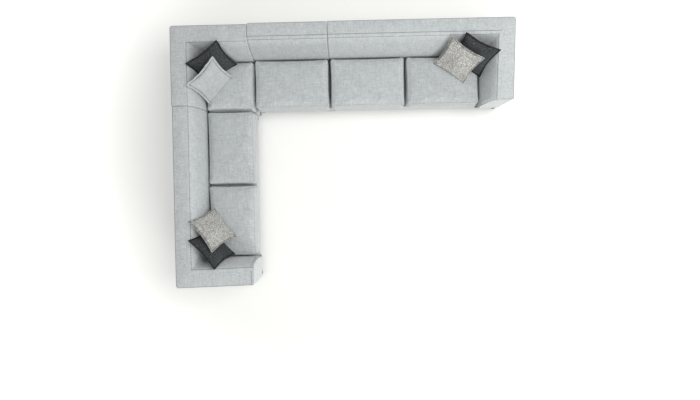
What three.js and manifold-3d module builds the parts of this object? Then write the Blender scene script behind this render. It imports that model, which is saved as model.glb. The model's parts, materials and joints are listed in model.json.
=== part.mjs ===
// An L-shaped sectional sofa in four upholstered modules: a corner, an armless seat, a two-seat end with an
// arm on the right, and a two-seat wing with an arm at its far end. Millimetres, +Z up. The origin is on the
// floor under the middle of the whole sofa, +X runs along the long row and +Y points to that row's back.
import * as THREE from "three";
import { mergeVertices } from "three/addons/utils/BufferGeometryUtils.js";
import Module from "manifold-3d";

const wasm = await Module();
wasm.setup();

// Heights above the floor
const legHeight = 90;
const deckHeight = 245;
const seatHeight = 430;
const backHeight = 760;
const armFrontHeight = 642;

// Plan sizes: the usual width of a seat, and how far each module's seat reaches from its back's outer face
const seatWidth = 880;
const cornerDepth = 884;
const rowDepth = 878;
const wingDepth = 832;

// Small spaces: between touching pieces, between modules, between seat cushions, and a cutter's overrun
const clearance = 0.3;
const moduleGap = 4;
const cushionGap = 5;
const overrun = 5;

// How far a module was pushed out of line with the corner module
const armlessShift = 11;
const rightShift = 14;
const wingShift = 7;

// Back and arm pads: a flat top as wide as "top", and a foot that meets the seat at "foot" from the outside
const rearRun = { top: 188, foot: 311, fullness: 1.25, edgeFullness: 1.1 };
const wingRun = { top: 176, foot: 281, fullness: 2, edgeFullness: 1.45 };
const cornerSideRun = { top: 180, foot: 285, fullness: 2, edgeFullness: 1.45 };
const rightArmRun = { top: 192, foot: 323, fullness: 1.4, edgeFullness: 1.2 };
const wingArmRun = { top: 203, foot: 299, fullness: 2, edgeFullness: 1.3 };
const padBottomRound = 10;
const padTopRound = 20;
const padTopCrown = 6;
const padSeamRound = 14;
const padTuck = 18;
const padJointRound = 8;
const armFrontRound = 16;
const armFrontCrown = 7;
const armFrontLean = 14;
const rightArmProud = 5;
const wingArmProud = 10;
const armFrontCrownShare = 0.55;
const slopeSteps = 6;
const roundSteps = 2;

// The seat cushions: boxed sides drawn in a little between the corners, and a crowned top
const seatCornerRadius = 34;
const seatSideDraw = 5;
const seatBottomRound = 12;
const seatTopRound = 16;
const seatCrown = 20;
const seatSideSteps = 5;
const seatCornerSteps = 3;
const seatTopShares = [0.86, 0.6, 0.3];
const seatCrownPower = 2.2;

// Base under each module: an upholstered border where no pad covers it, and a padded deck, over a timber frame
const baseInset = 22;
const baseBorder = 8;
const baseCornerRadius = 14;
const baseEdgeRound = 5;
const deckThickness = 18;
const dustCoverThickness = 2;
const dustCoverInset = 4;
const railWidth = 32;
const crossRailWidth = 25;
const bayWidthMost = 350;
const strapThickness = 3;
const strapWidth = 50;
const strapPitch = 260;
const strapEndInset = 6;
const deckSlotClearance = 1;

// Upright plywood boards inside the backs and arms: they stand against the inner face of the base frame's rails,
// and lap into notches in its cross rails
const boardThickness = 20;
const boardEndInset = 70;
const boardMitreInset = 110;
const boardTopCover = 55;
const boardLap = 66;

// Legs and the links between modules, each with a threaded stud that goes up into a rail
const legWidth = 38;
const legShift = 8;
const studRadius = 4;
const studLength = 30;
const studSides = 8;
const studHoleClearance = 0.5;
const linkWidth = 50;
const linkThickness = 4;
const linkEndLength = 24;

// Throw pillows: the side from corner to corner, the thickness, and how far the sides draw in
const pillowSide = 430;
const pillowThickness = 122;
const pillowDrawShare = 0.085;
const pillowSteps = 10;
const pillowEdgePower = 0.62;
const pillowRest = 0.5;

const colours = {
  fabric: 0xb9bfbf,
  charcoal: 0x3f4246,
  woven: 0xa8a49c,
  timber: 0xb48f5f,
  plywood: 0xc9aa7c,
  webbing: 0x2c2b2a,
  dustCover: 0x1d1d1e,
  leg: 0x1b1b1d,
  steel: 0x8b8e91,
};

// The four modules in their own frames: back along y = 0, seats toward -y, x from the left end to the right.
// "proud" is how far an arm stands out past the seats in front.
const corner = {
  name: "corner",
  back: rearRun,
  side: { ...cornerSideRun, end: "left", label: "side_back", proud: 0, frontHeight: backHeight },
  seatShares: [0.642],
  seatFront: cornerDepth,
  frontIsJoint: true,
};
const armless = { name: "armless", back: rearRun, side: null, seatShares: [1], seatFront: rowDepth };
const rightEnd = {
  name: "right_end",
  back: rearRun,
  side: { ...rightArmRun, end: "right", label: "arm", proud: rightArmProud, frontHeight: armFrontHeight },
  seatShares: [1.002, 0.974],
  seatFront: rowDepth,
};
const wing = {
  name: "wing",
  back: wingRun,
  side: { ...wingArmRun, end: "left", label: "arm", proud: wingArmProud, frontHeight: armFrontHeight },
  seatShares: [0.953, 0.982],
  seatFront: wingDepth,
};
const modules = [corner, armless, rightEnd, wing];

const sum = (values) => values.reduce((total, value) => total + value, 0);
for (const module of modules) {
  module.seats = module.seatShares.map((share) => share * seatWidth);
  module.width = sum(module.seats) + (module.side ? module.side.foot : 0);
  if (module.side) module.side.reach = module.seatFront + module.side.proud;
}

const overallWidth = corner.width + armless.width + rightEnd.width;
const overallDepth = corner.side.reach + wing.width;

// Places of the modules in the plan: the corner module's outer corner is the plan's own zero
corner.at = [0, 0];
armless.at = [corner.width, armlessShift];
rightEnd.at = [corner.width + armless.width, rightShift];
wing.at = [wingShift, -overallDepth];
wing.turn = Math.PI / 2;

// Levels worked out from the heights
const padBottom = deckHeight + clearance;
const baseBottom = legHeight + dustCoverThickness + clearance;
const strapTop = deckHeight - deckThickness - clearance;
const railTop = strapTop - strapThickness - clearance;
const railInset = baseInset + baseBorder + clearance;
const jointRailInset = moduleGap / 2 + baseBorder + clearance;
const boardBottom = railTop - boardLap;

function solidOf(geometry) {
  const loose = geometry.index ? geometry.toNonIndexed() : geometry;
  const plain = new THREE.BufferGeometry();
  plain.setAttribute("position", loose.getAttribute("position"));
  const merged = mergeVertices(plain);
  return new wasm.Manifold(
    new wasm.Mesh({
      numProp: 3,
      vertProperties: merged.attributes.position.array,
      triVerts: new Uint32Array(merged.index.array),
    }),
  );
}

function geometryOf(solid) {
  const mesh = solid.getMesh();
  const geometry = new THREE.BufferGeometry();
  geometry.setAttribute("position", new THREE.BufferAttribute(mesh.vertProperties, 3));
  geometry.setIndex(new THREE.BufferAttribute(mesh.triVerts, 1));
  const flat = geometry.toNonIndexed();
  flat.computeVertexNormals();
  return flat;
}

function cut(geometry, ...cutters) {
  let solid = solidOf(geometry);
  for (const cutter of cutters) solid = solid.subtract(solidOf(cutter));
  return geometryOf(solid);
}

function join(...geometries) {
  let solid = solidOf(geometries[0]);
  for (const geometry of geometries.slice(1)) solid = solid.add(solidOf(geometry));
  return geometryOf(solid);
}

function box(low, high) {
  const size = high.map((value, axis) => value - low[axis]);
  const geometry = new THREE.BoxGeometry(...size);
  return geometry.translate(...low.map((value, axis) => value + size[axis] / 2));
}

// A closed body through rings of points, with both end rings filled
function loft(rings) {
  const count = rings[0].length;
  const points = rings.flat();
  const faces = [];
  for (let ring = 0; ring < rings.length - 1; ring++)
    for (let i = 0; i < count; i++) {
      const next = (i + 1) % count;
      const [a, b] = [ring * count + i, ring * count + next];
      faces.push([a, b, b + count], [a, b + count, a + count]);
    }
  const last = (rings.length - 1) * count;
  for (let i = 1; i < count - 1; i++) {
    faces.push([0, i + 1, i]);
    faces.push([last, last + i, last + i + 1]);
  }
  return surface(points, faces);
}

// A geometry from points and faces, turned so that its faces point out
function surface(points, faces) {
  const volume = sum(faces.map(([a, b, c]) => points[a].dot(points[b].clone().cross(points[c]))));
  const positions = faces.flatMap(([a, b, c]) => {
    const turned = volume < 0 ? [a, c, b] : [a, b, c];
    return turned.flatMap((index) => points[index].toArray());
  });
  const geometry = new THREE.BufferGeometry();
  geometry.setAttribute("position", new THREE.Float32BufferAttribute(positions, 3));
  geometry.computeVertexNormals();
  return geometry;
}

function roundedRectangle(low, high, radius) {
  const shape = new THREE.Shape();
  shape.moveTo(low[0] + radius, low[1]);
  shape.absarc(high[0] - radius, low[1] + radius, radius, -Math.PI / 2, 0);
  shape.absarc(high[0] - radius, high[1] - radius, radius, 0, Math.PI / 2);
  shape.absarc(low[0] + radius, high[1] - radius, radius, Math.PI / 2, Math.PI);
  shape.absarc(low[0] + radius, low[1] + radius, radius, Math.PI, Math.PI * 1.5);
  return shape;
}

// A block with rounded upright corners and softened top and bottom edges
function roundedBlock(low, high, radius, edge) {
  const inner = roundedRectangle(
    [low[0] + edge, low[1] + edge],
    [high[0] - edge, high[1] - edge],
    radius - edge,
  );
  const geometry = new THREE.ExtrudeGeometry(inner, {
    depth: high[2] - low[2] - 2 * edge,
    bevelThickness: edge,
    bevelSize: edge,
    bevelSegments: 1,
    curveSegments: 2,
  });
  return geometry.translate(0, 0, low[2] + edge);
}

function stud(x, y, low, high, radius) {
  const geometry = new THREE.CylinderGeometry(radius, radius, high - low, studSides);
  return geometry.rotateX(Math.PI / 2).translate(x, y, (low + high) / 2);
}

// The section of a back or arm, down to the base's bottom edge: distances from its outer face and heights, the
// same heights on every run
function padSection(run) {
  const edge = backHeight - padTopCrown;
  const corner45 = padTopRound * (1 - Math.SQRT1_2);
  const seam = edge - padSeamRound / 2;
  const points = [
    [padBottomRound, baseBottom],
    [0, baseBottom + padBottomRound],
    [0, edge - padTopRound],
    [corner45, edge - corner45],
    [padTopRound, edge],
    [run.top / 2, backHeight],
    [run.top - padSeamRound, edge],
    [run.top, seam],
  ];
  for (let step = 1; step <= slopeSteps; step++) {
    const fall = step / slopeSteps;
    const reach = (1 - (1 - fall) ** run.fullness) ** (1 / run.edgeFullness);
    points.push([run.top + (run.foot - run.top) * reach, seam + (seatHeight - seam) * fall]);
  }
  const tuck = run.foot - padTuck;
  points.push([tuck, padBottom], [tuck, baseBottom + padBottomRound], [tuck - padBottomRound, baseBottom]);
  return points.map(([d, z]) => new THREE.Vector2(d, z));
}

// The same section, smaller by an even inset all round
function insetSection(section, inset) {
  return section.map((point, i) => {
    const before = section[(i + section.length - 1) % section.length];
    const after = section[(i + 1) % section.length];
    const along = after.clone().sub(before).normalize();
    return point.clone().add(new THREE.Vector2(along.y, -along.x).multiplyScalar(inset));
  });
}

// An end of a run, rounded off to its last ring: how far each ring is from the end, and how far it is inset
function roundedEnd(radius) {
  const rings = [];
  for (let step = 0; step <= roundSteps; step++) {
    const angle = (step / roundSteps) * (Math.PI / 2);
    rings.push({ before: radius * (1 - Math.sin(angle)), inset: radius * (1 - Math.cos(angle)) });
  }
  return rings;
}

// A back along the module's rear: rounded ends at the joints, and a mitre where the side run meets it
function backPad(module) {
  const section = padSection(module.back);
  const side = module.side ? padSection(module.side) : null;
  const place = (inset, x) => (inset ? insetSection(section, inset) : section).map((p, j) => {
    return new THREE.Vector3(x(j), -p.x, p.y);
  });
  const mitre = (j) => side[j].x + clearance;
  const joint = moduleGap / 2;
  const starts = roundedEnd(padJointRound).reverse();
  const rings = [];
  if (module.side?.end === "left") rings.push(place(0, mitre));
  else for (const ring of starts) rings.push(place(ring.inset, () => joint + ring.before));
  if (module.side?.end === "right") rings.push(place(0, (j) => module.width - mitre(j)));
  else
    for (const ring of roundedEnd(padJointRound))
      rings.push(place(ring.inset, () => module.width - joint - ring.before));
  return loft(rings);
}

// The arm or side back: it starts at the mitre and runs forward. An arm's top falls toward its front, and its
// front leans back toward the floor.
function sidePad(module) {
  const { side, back, width } = module;
  const section = padSection(side);
  const rear = padSection(back);
  const isArm = side.label === "arm";
  const round = isArm ? armFrontRound : padJointRound;
  const crown = isArm ? armFrontCrown : 0;
  const front = side.reach - (isArm ? crown : moduleGap / 2);
  const fallShare = (backHeight - side.frontHeight) / (backHeight - seatHeight);
  const ring = (shape, forward) =>
    shape.map((p, j) => {
      const start = rear[j].x + clearance;
      const along = forward === null ? start : forward;
      const travel = Math.max(0, (along - start) / (side.reach - start));
      const above = Math.max(0, p.y - seatHeight);
      const z = p.y - above * fallShare * travel;
      const below = Math.max(0, (side.frontHeight - z) / (side.frontHeight - baseBottom));
      const lean = isArm && forward !== null ? armFrontLean * below : 0;
      return new THREE.Vector3(side.end === "left" ? p.x : width - p.x, lean - along, z);
    });
  const rings = [ring(section, null)];
  for (const end of roundedEnd(round)) rings.push(ring(insetSection(section, end.inset), front - end.before));
  if (isArm) {
    const face = insetSection(section, round);
    const middle = new THREE.Vector2(side.foot / 2, (baseBottom + side.frontHeight) / 2);
    const small = face.map((p) => p.clone().lerp(middle, armFrontCrownShare));
    rings.push(ring(small, front + crown));
  }
  return loft(rings);
}

// The upright boards of a module, as blocks grown by a margin: the boards themselves, or the slots they need.
// In the corner module the two meet in one L; beside an arm each stops short of the mitre.
function boardBlocks(module, margin, bottom) {
  const near = railInset + railWidth + clearance;
  const far = near + boardThickness;
  const { side, width } = module;
  const meets = side?.label === "side_back" ? near : boardMitreInset;
  const left = side?.end === "left" ? meets : boardEndInset;
  const right = width - (side?.end === "right" ? meets : boardEndInset);
  const grown = (low, high) => box(
    [low[0] - margin, low[1] - margin, bottom],
    [high[0] + margin, high[1] + margin, high[2] + margin],
  );
  const rear = grown([left, -far], [right, -near, backHeight - boardTopCover]);
  if (!side) return [rear];
  const front = module.seatFront - railInset - railWidth - clearance;
  const [from, to] = side.end === "left" ? [near, far] : [width - far, width - near];
  return [rear, grown([from, -front], [to, -meets, side.frontHeight - boardTopCover])];
}

// The plan of a module's base, inset from its free faces and nearer to the faces that meet another module
function basePlan(module, inset) {
  const nearer = inset - railInset + jointRailInset;
  const left = module.side?.end === "left" ? inset : nearer;
  const right = module.side?.end === "right" ? inset : nearer;
  const front = module.frontIsJoint ? nearer : inset;
  return {
    low: [left, -(module.seatFront - front)],
    high: [module.width - right, -inset],
  };
}

// The room that the base takes up inside the pads: it runs out where the module meets another
function baseRoom(module) {
  const inset = railInset - clearance;
  const left = module.side?.end === "left" ? inset : -overrun;
  const right = module.side?.end === "right" ? inset : -overrun;
  const front = module.frontIsJoint ? -overrun : inset;
  return box(
    [left, -(module.seatFront - front), baseBottom - overrun],
    [module.width - right, -inset, padBottom],
  );
}

// The base's cover: a deck over the whole frame, and a border down each face that no pad covers
function baseShell(module) {
  const { side, width, seatFront } = module;
  const outer = basePlan(module, baseInset);
  const inner = basePlan(module, baseInset + baseBorder);
  const block = roundedBlock(
    [...outer.low, baseBottom],
    [...outer.high, deckHeight],
    baseCornerRadius,
    baseEdgeRound,
  );
  const [under, over] = [baseBottom - overrun, deckHeight + overrun];
  const hollow = box([...inner.low, under], [...inner.high, deckHeight - deckThickness]);
  const cutters = [hollow, box([-overrun, -railInset, under], [width + overrun, overrun, over])];
  const strip = (reach, from, to) => {
    const [left, right] = side.end === "left" ? [-overrun, reach] : [width - reach, width + overrun];
    return box([left, -from, under], [right, -to, over]);
  };
  if (side) cutters.push(strip(railInset, seatFront + overrun, -overrun));
  if (side?.label === "arm")
    cutters.push(strip(side.foot - padTuck + clearance, seatFront + overrun, seatFront - railInset));
  return cut(block, ...cutters, ...boardBlocks(module, deckSlotClearance, deckHeight - deckThickness - overrun));
}

// Legs stand under the rails at the module's four corners, shifted toward its outer faces. Front legs away from
// the arms are set further in, out of sight from above.
function legPlaces(module) {
  const { low, high } = basePlan(module, railInset + railWidth / 2);
  if (module.side?.end === "left") low[0] -= legShift;
  if (module.side?.end === "right") high[0] += legShift;
  high[1] += legShift;
  const front = (end) => low[1] + (module.side?.label === "arm" && module.side.end === end ? -legShift : legShift);
  return [
    ["rear_left", low[0], high[1]],
    ["rear_right", high[0], high[1]],
    ["front_left", low[0], front("left")],
    ["front_right", high[0], front("right")],
  ];
}

function studHoles(module, low, high) {
  const places = [...legPlaces(module).map(([, x, y]) => [x, y]), ...module.linkPlaces];
  return places.map(([x, y]) => stud(x, y, low, high, studRadius + studHoleClearance));
}

// The timber frame: four rails with cross rails between, drilled for the studs
function baseFrame(module) {
  const outer = basePlan(module, railInset);
  const inner = basePlan(module, railInset + railWidth);
  const frame = box([...outer.low, baseBottom], [...outer.high, railTop]);
  const run = inner.high[0] - inner.low[0];
  const bays = Math.ceil(run / bayWidthMost);
  const bay = (run - (bays - 1) * crossRailWidth) / bays;
  const cutters = [];
  for (let i = 0; i < bays; i++) {
    const x = inner.low[0] + i * (bay + crossRailWidth);
    cutters.push(box([x, inner.low[1], baseBottom - overrun], [x + bay, inner.high[1], railTop + overrun]));
  }
  cutters.push(...studHoles(module, baseBottom - overrun, baseBottom + studLength));
  cutters.push(...boardBlocks(module, clearance, boardBottom - clearance));
  return cut(frame, ...cutters);
}

// Elastic straps crossing over the frame, clear of the boards that stand inside the rails
function webbing(module) {
  const { low, high } = basePlan(module, railInset + strapEndInset);
  const behind = railInset + railWidth + boardThickness + 2 * clearance;
  if (module.side?.end === "left") low[0] = behind;
  if (module.side?.end === "right") high[0] = module.width - behind;
  high[1] = -behind;
  const bottom = strapTop - strapThickness;
  const straps = [];
  for (const axis of [0, 1]) {
    const across = high[axis] - low[axis];
    const count = Math.round(across / strapPitch);
    const pitch = across / count;
    for (let i = 0; i < count; i++) {
      const middle = low[axis] + (i + 1 / 2) * pitch;
      const from = [...low, bottom];
      const to = [...high, strapTop];
      from[axis] = middle - strapWidth / 2;
      to[axis] = middle + strapWidth / 2;
      straps.push(box(from, to));
    }
  }
  return join(...straps);
}

function dustCover(module) {
  const { low, high } = basePlan(module, baseInset + dustCoverInset);
  const sheet = box([...low, legHeight], [...high, legHeight + dustCoverThickness]);
  return cut(sheet, ...studHoles(module, legHeight - overrun, legHeight + dustCoverThickness + overrun));
}

function leg() {
  const half = legWidth / 2;
  const top = legHeight - clearance;
  return join(box([-half, -half, 0], [half, half, top]), stud(0, 0, top - overrun, top + studLength, studRadius));
}

// A flat steel link under two modules, with a stud up into each one's end rail
function link() {
  const reach = linkReach();
  const top = legHeight - clearance;
  const plate = box(
    [-reach - linkEndLength, -linkWidth / 2, top - linkThickness],
    [reach + linkEndLength, linkWidth / 2, top],
  );
  const high = top + studLength;
  const low = top - linkThickness / 2;
  return join(plate, stud(-reach, 0, low, high, studRadius), stud(reach, 0, low, high, studRadius));
}

const linkReach = () => jointRailInset + railWidth / 2;

// The plan outline of a seat cushion: rounded corners, and sides that draw in between them
function seatOutline(halfWidth, halfDepth) {
  const points = [];
  const straight = [halfWidth - seatCornerRadius, halfDepth - seatCornerRadius];
  for (let side = 0; side < 4; side++) {
    const angle = (side * Math.PI) / 2;
    const outward = new THREE.Vector2(Math.cos(angle), Math.sin(angle));
    const along = new THREE.Vector2(-outward.y, outward.x);
    const reach = side % 2 === 0 ? halfWidth : halfDepth;
    const run = straight[1 - (side % 2)];
    for (let i = 0; i <= seatSideSteps; i++) {
      const share = (2 * i) / seatSideSteps - 1;
      const out = reach - seatSideDraw * (1 - share ** 2);
      points.push(outward.clone().multiplyScalar(out).addScaledVector(along, share * run));
    }
    const centre = outward.clone().multiplyScalar(reach - seatCornerRadius).addScaledVector(along, run);
    for (let i = 1; i < seatCornerSteps; i++) {
      const turn = angle + (i / seatCornerSteps) * (Math.PI / 2);
      const arm = new THREE.Vector2(Math.cos(turn), Math.sin(turn)).multiplyScalar(seatCornerRadius);
      points.push(centre.clone().add(arm));
    }
  }
  return points;
}

// A boxed seat cushion on the deck, flat below and crowned above
function seatCushion(width, depth) {
  const outline = (inset) => seatOutline(width / 2 - inset, depth / 2 - inset);
  const ring = (points, z) => points.map((p) => new THREE.Vector3(p.x, p.y, z));
  const bottom = deckHeight + clearance;
  const rings = [
    ring(outline(seatBottomRound / 2), bottom),
    ring(outline(0), bottom + seatBottomRound),
    ring(outline(0), seatHeight - seatTopRound),
    ring(outline(seatTopRound / 3), seatHeight - seatTopRound / 3),
    ring(outline(seatTopRound), seatHeight),
  ];
  const rim = outline(seatTopRound);
  for (const share of seatTopShares) {
    const rise = seatCrown * (1 - share ** seatCrownPower);
    rings.push(ring(rim.map((p) => p.clone().multiplyScalar(share)), seatHeight + rise));
  }
  return loft(rings);
}

// A stuffed square pillow standing on edge, its face toward -y, with sides that draw in between the corners
function pillowForm() {
  const half = pillowSide / 2;
  const across = pillowSteps + 1;
  const points = [];
  const faces = [];
  const grids = [];
  const edgePoints = new Map();
  for (const face of [-1, 1]) {
    const grid = [];
    for (let i = 0; i < across; i++)
      for (let k = 0; k < across; k++) {
        const u = Math.sin(((i / pillowSteps) * 2 - 1) * (Math.PI / 2));
        const v = Math.sin(((k / pillowSteps) * 2 - 1) * (Math.PI / 2));
        const onEdge = i === 0 || k === 0 || i === pillowSteps || k === pillowSteps;
        const key = i * across + k;
        if (onEdge && edgePoints.has(key)) {
          grid.push(edgePoints.get(key));
          continue;
        }
        const swell = onEdge ? 0 : ((1 - u * u) * (1 - v * v)) ** pillowEdgePower;
        const x = half * u * (1 - pillowDrawShare * (1 - v * v));
        const z = half * v * (1 - pillowDrawShare * (1 - u * u));
        points.push(new THREE.Vector3(x, face * swell * (pillowThickness / 2), z));
        grid.push(points.length - 1);
        if (onEdge) edgePoints.set(key, points.length - 1);
      }
    grids.push([face, grid]);
  }
  for (const [face, grid] of grids)
    for (let i = 0; i < pillowSteps; i++)
      for (let k = 0; k < pillowSteps; k++) {
        const [a, b] = [grid[i * across + k], grid[(i + 1) * across + k]];
        const [c, d] = [grid[(i + 1) * across + k + 1], grid[i * across + k + 1]];
        if (face < 0) faces.push([a, b, c], [a, c, d]);
        else faces.push([a, c, b], [a, d, c]);
      }
  return surface(points, faces);
}

// Links join neighbouring modules: a plan point on the joint, and the turn of the plate
const jointAcross = -corner.seatFront / 2;
const links = [
  { name: "link_corner_armless", at: [corner.width, jointAcross], turn: 0, joins: [corner, armless] },
  {
    name: "link_armless_right_end",
    at: [corner.width + armless.width, jointAcross],
    turn: 0,
    joins: [armless, rightEnd],
  },
  { name: "link_corner_wing", at: [corner.width / 2, -corner.seatFront], turn: Math.PI / 2, joins: [corner, wing] },
];

const moduleGroup = new Map();
const sofa = new THREE.Group();
sofa.position.set(-overallWidth / 2, (overallDepth - rightShift) / 2, 0);
for (const module of modules) {
  const group = new THREE.Group();
  group.position.set(...module.at, 0);
  group.rotation.z = module.turn ?? 0;
  group.updateMatrix();
  module.linkPlaces = [];
  moduleGroup.set(module, group);
  sofa.add(group);
}
for (const { at, turn, joins } of links)
  joins.forEach((module, i) => {
    const sign = (turn ? -1 : 1) * (i ? 1 : -1);
    const arm = new THREE.Vector2(sign * linkReach(), 0).rotateAround(new THREE.Vector2(), turn);
    const point = new THREE.Vector3(at[0] + arm.x, at[1] + arm.y, 0);
    point.applyMatrix4(moduleGroup.get(module).matrix.clone().invert());
    module.linkPlaces.push([point.x, point.y]);
  });

function add(parent, name, geometry, colour, roughness, metalness) {
  const material = new THREE.MeshStandardMaterial({ color: colour, roughness, metalness });
  const mesh = new THREE.Mesh(geometry, material);
  mesh.name = name;
  parent.add(mesh);
  return mesh;
}

const soft = [0.95, 0];
const wood = [0.7, 0];
const metal = [0.45, 0.8];

const seatMeshes = new Map();
const padMeshes = [];
for (const module of modules) {
  const group = moduleGroup.get(module);
  const name = (piece) => module.name + "_" + piece;
  add(group, name("dust_cover"), dustCover(module), colours.dustCover, ...soft);
  add(group, name("base_frame"), baseFrame(module), colours.timber, ...wood);
  add(group, name("seat_webbing"), webbing(module), colours.webbing, ...soft);
  add(group, name("base_border"), baseShell(module), colours.fabric, ...soft);
  const blocks = boardBlocks(module, 0, boardBottom);
  if (module.side?.label === "side_back") add(group, name("back_boards"), join(...blocks), colours.plywood, ...wood);
  else {
    add(group, name("back_board"), blocks[0], colours.plywood, ...wood);
    if (module.side) add(group, name("arm_board"), blocks[1], colours.plywood, ...wood);
  }
  const slots = [baseRoom(module), ...boardBlocks(module, clearance, boardBottom)];
  padMeshes.push(add(group, name("back_pad"), cut(backPad(module), ...slots), colours.fabric, ...soft));
  if (module.side) {
    const pad = cut(sidePad(module), ...slots);
    padMeshes.push(add(group, name(module.side.label + "_pad"), pad, colours.fabric, ...soft));
  }
  let x = module.side?.end === "left" ? module.side.foot : 0;
  module.seats.forEach((width, i) => {
    const depth = module.seatFront - module.back.foot;
    const cushion = seatCushion(width - cushionGap, depth - cushionGap / 2);
    const seatName = name("seat_cushion") + (module.seats.length > 1 ? "_" + (i + 1) : "");
    const mesh = add(group, seatName, cushion, colours.fabric, ...soft);
    mesh.position.set(x + width / 2, -(module.back.foot + depth / 2 + cushionGap / 4), 0);
    seatMeshes.set(seatName, mesh);
    x += width;
  });
  for (const [place, legX, legY] of legPlaces(module)) {
    const mesh = add(group, name("leg_" + place), leg(), colours.leg, ...wood);
    mesh.position.set(legX, legY, 0);
  }
}
for (const { name, at, turn } of links) {
  const mesh = add(sofa, name, link(), colours.steel, ...metal);
  mesh.position.set(...at, 0);
  mesh.rotation.z = turn;
}

// Six pillows stand on the seats and lean back. "atShares" places a pillow's middle from its seat cushion's
// middle, in shares of the cushion's two plan sizes, and above the seat in shares of the pillow's side. Then
// come the way its face looks in the plan, its lean back from upright and its roll, in degrees.
const pillows = [
  { kind: "dark", place: "corner", seat: "corner_seat_cushion", looks: -56, leans: 28, rolls: -2 },
  { kind: "light", place: "corner", seat: "corner_seat_cushion", looks: -43, leans: 27, rolls: 1 },
  { kind: "dark", place: "right", seat: "right_end_seat_cushion_2", looks: -111, leans: 34, rolls: 8 },
  { kind: "woven", place: "right", seat: "right_end_seat_cushion_2", looks: -123, leans: 35, rolls: 3 },
  { kind: "dark", place: "wing", seat: "wing_seat_cushion_1", looks: 39, leans: 26, rolls: -2 },
  { kind: "woven", place: "wing", seat: "wing_seat_cushion_1", looks: 37, leans: 33, rolls: 0 },
];
const atShares = [
  [-0.2545, 0.3624, 0.4535],
  [-0.2866, 0.0241, 0.4279],
  [0.3633, 0.3875, 0.4488],
  [0.1637, 0.2901, 0.4302],
  [-0.3314, -0.3423, 0.4326],
  [-0.3095, -0.0965, 0.4395],
];
const pillowColours = { dark: colours.charcoal, light: colours.fabric, woven: colours.woven };

// A neighbour's solid in the sofa's own frame, moved a hair so that what it cuts stays clear of it
function neighbour(mesh, move) {
  const toSofa = sofa.matrixWorld.clone().invert().multiply(mesh.matrixWorld);
  return mesh.geometry.clone().applyMatrix4(toSofa).translate(...move);
}

sofa.updateMatrixWorld(true);
const degrees = Math.PI / 180;
const lying = [];
pillows.forEach(({ kind, place, seat, looks, leans, rolls }, i) => {
  const seatMesh = seatMeshes.get(seat);
  const seatBox = new THREE.Box3().setFromBufferAttribute(neighbour(seatMesh, [0, 0, 0]).getAttribute("position"));
  const [middle, size] = [seatBox.getCenter(new THREE.Vector3()), seatBox.getSize(new THREE.Vector3())];
  const [across, deep, up] = atShares[i];
  const at = [middle.x + across * size.x, middle.y + deep * size.y, seatHeight + up * pillowSide];
  const placed = new THREE.Matrix4()
    .makeTranslation(...at)
    .multiply(new THREE.Matrix4().makeRotationZ((looks + 90) * degrees))
    .multiply(new THREE.Matrix4().makeRotationX(-leans * degrees))
    .multiply(new THREE.Matrix4().makeRotationY(rolls * degrees));
  const face = new THREE.Vector3(0, -1, 0).transformDirection(placed).multiplyScalar(pillowRest);
  const forward = new THREE.Vector3(face.x, face.y, 0).setLength(pillowRest).setZ(pillowRest);
  const cutters = [neighbour(seatMesh, [0, 0, pillowRest])];
  for (const pad of padMeshes) cutters.push(neighbour(pad, forward.toArray()));
  for (const under of lying) cutters.push(neighbour(under, face.toArray()));
  const whole = pillowForm().applyMatrix4(placed);
  const mesh = add(sofa, "pillow_" + place + "_" + kind, cut(whole, ...cutters), pillowColours[kind], ...soft);
  mesh.updateMatrixWorld(true);
  lying.push(mesh);
});

export default sofa;
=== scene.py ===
import json
import math

import bmesh
import bpy
import numpy as np
from mathutils import Matrix, Vector
from mathutils.bvhtree import BVHTree
from mathutils.kdtree import KDTree

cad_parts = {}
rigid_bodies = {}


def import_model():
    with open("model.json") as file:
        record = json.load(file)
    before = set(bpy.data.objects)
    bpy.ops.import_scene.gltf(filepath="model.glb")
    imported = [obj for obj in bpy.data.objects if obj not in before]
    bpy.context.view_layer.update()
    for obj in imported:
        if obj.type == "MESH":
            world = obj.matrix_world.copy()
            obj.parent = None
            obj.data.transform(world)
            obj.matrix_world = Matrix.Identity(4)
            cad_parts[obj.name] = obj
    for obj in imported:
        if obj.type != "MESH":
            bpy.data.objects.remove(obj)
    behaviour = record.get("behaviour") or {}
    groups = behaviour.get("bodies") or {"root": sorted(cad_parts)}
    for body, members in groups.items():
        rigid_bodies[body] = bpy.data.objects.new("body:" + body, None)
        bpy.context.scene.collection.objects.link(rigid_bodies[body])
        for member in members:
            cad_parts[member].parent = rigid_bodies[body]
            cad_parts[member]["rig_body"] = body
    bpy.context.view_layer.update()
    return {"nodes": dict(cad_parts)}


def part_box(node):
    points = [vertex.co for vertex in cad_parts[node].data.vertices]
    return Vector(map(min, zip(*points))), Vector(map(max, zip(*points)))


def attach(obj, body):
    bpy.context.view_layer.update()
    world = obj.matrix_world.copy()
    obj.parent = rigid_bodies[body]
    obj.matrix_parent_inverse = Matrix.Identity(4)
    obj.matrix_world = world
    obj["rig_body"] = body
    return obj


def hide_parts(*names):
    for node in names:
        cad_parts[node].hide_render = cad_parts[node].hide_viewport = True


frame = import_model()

scene = bpy.context.scene
scene.view_settings.view_transform = "Standard"

# ---------------------------------------------------------------- camera, floor and lights
angles = [math.radians(value) for value in (0.443, -0.459, 1.147)]
look = (Matrix.Rotation(angles[0], 3, "X") @ Matrix.Rotation(angles[1], 3, "Y")
        @ Matrix.Rotation(angles[2], 3, "Z"))
camera_data = bpy.data.cameras.new("camera")
camera_data.sensor_width = 36
camera_data.lens = 448.15 / 700 * 36
camera = bpy.data.objects.new("camera", camera_data)
scene.collection.objects.link(camera)
camera.matrix_world = Matrix.Translation((0.0869, -0.4763, 5.6529)) @ look.transposed().to_4x4()
scene.camera = camera


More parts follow.
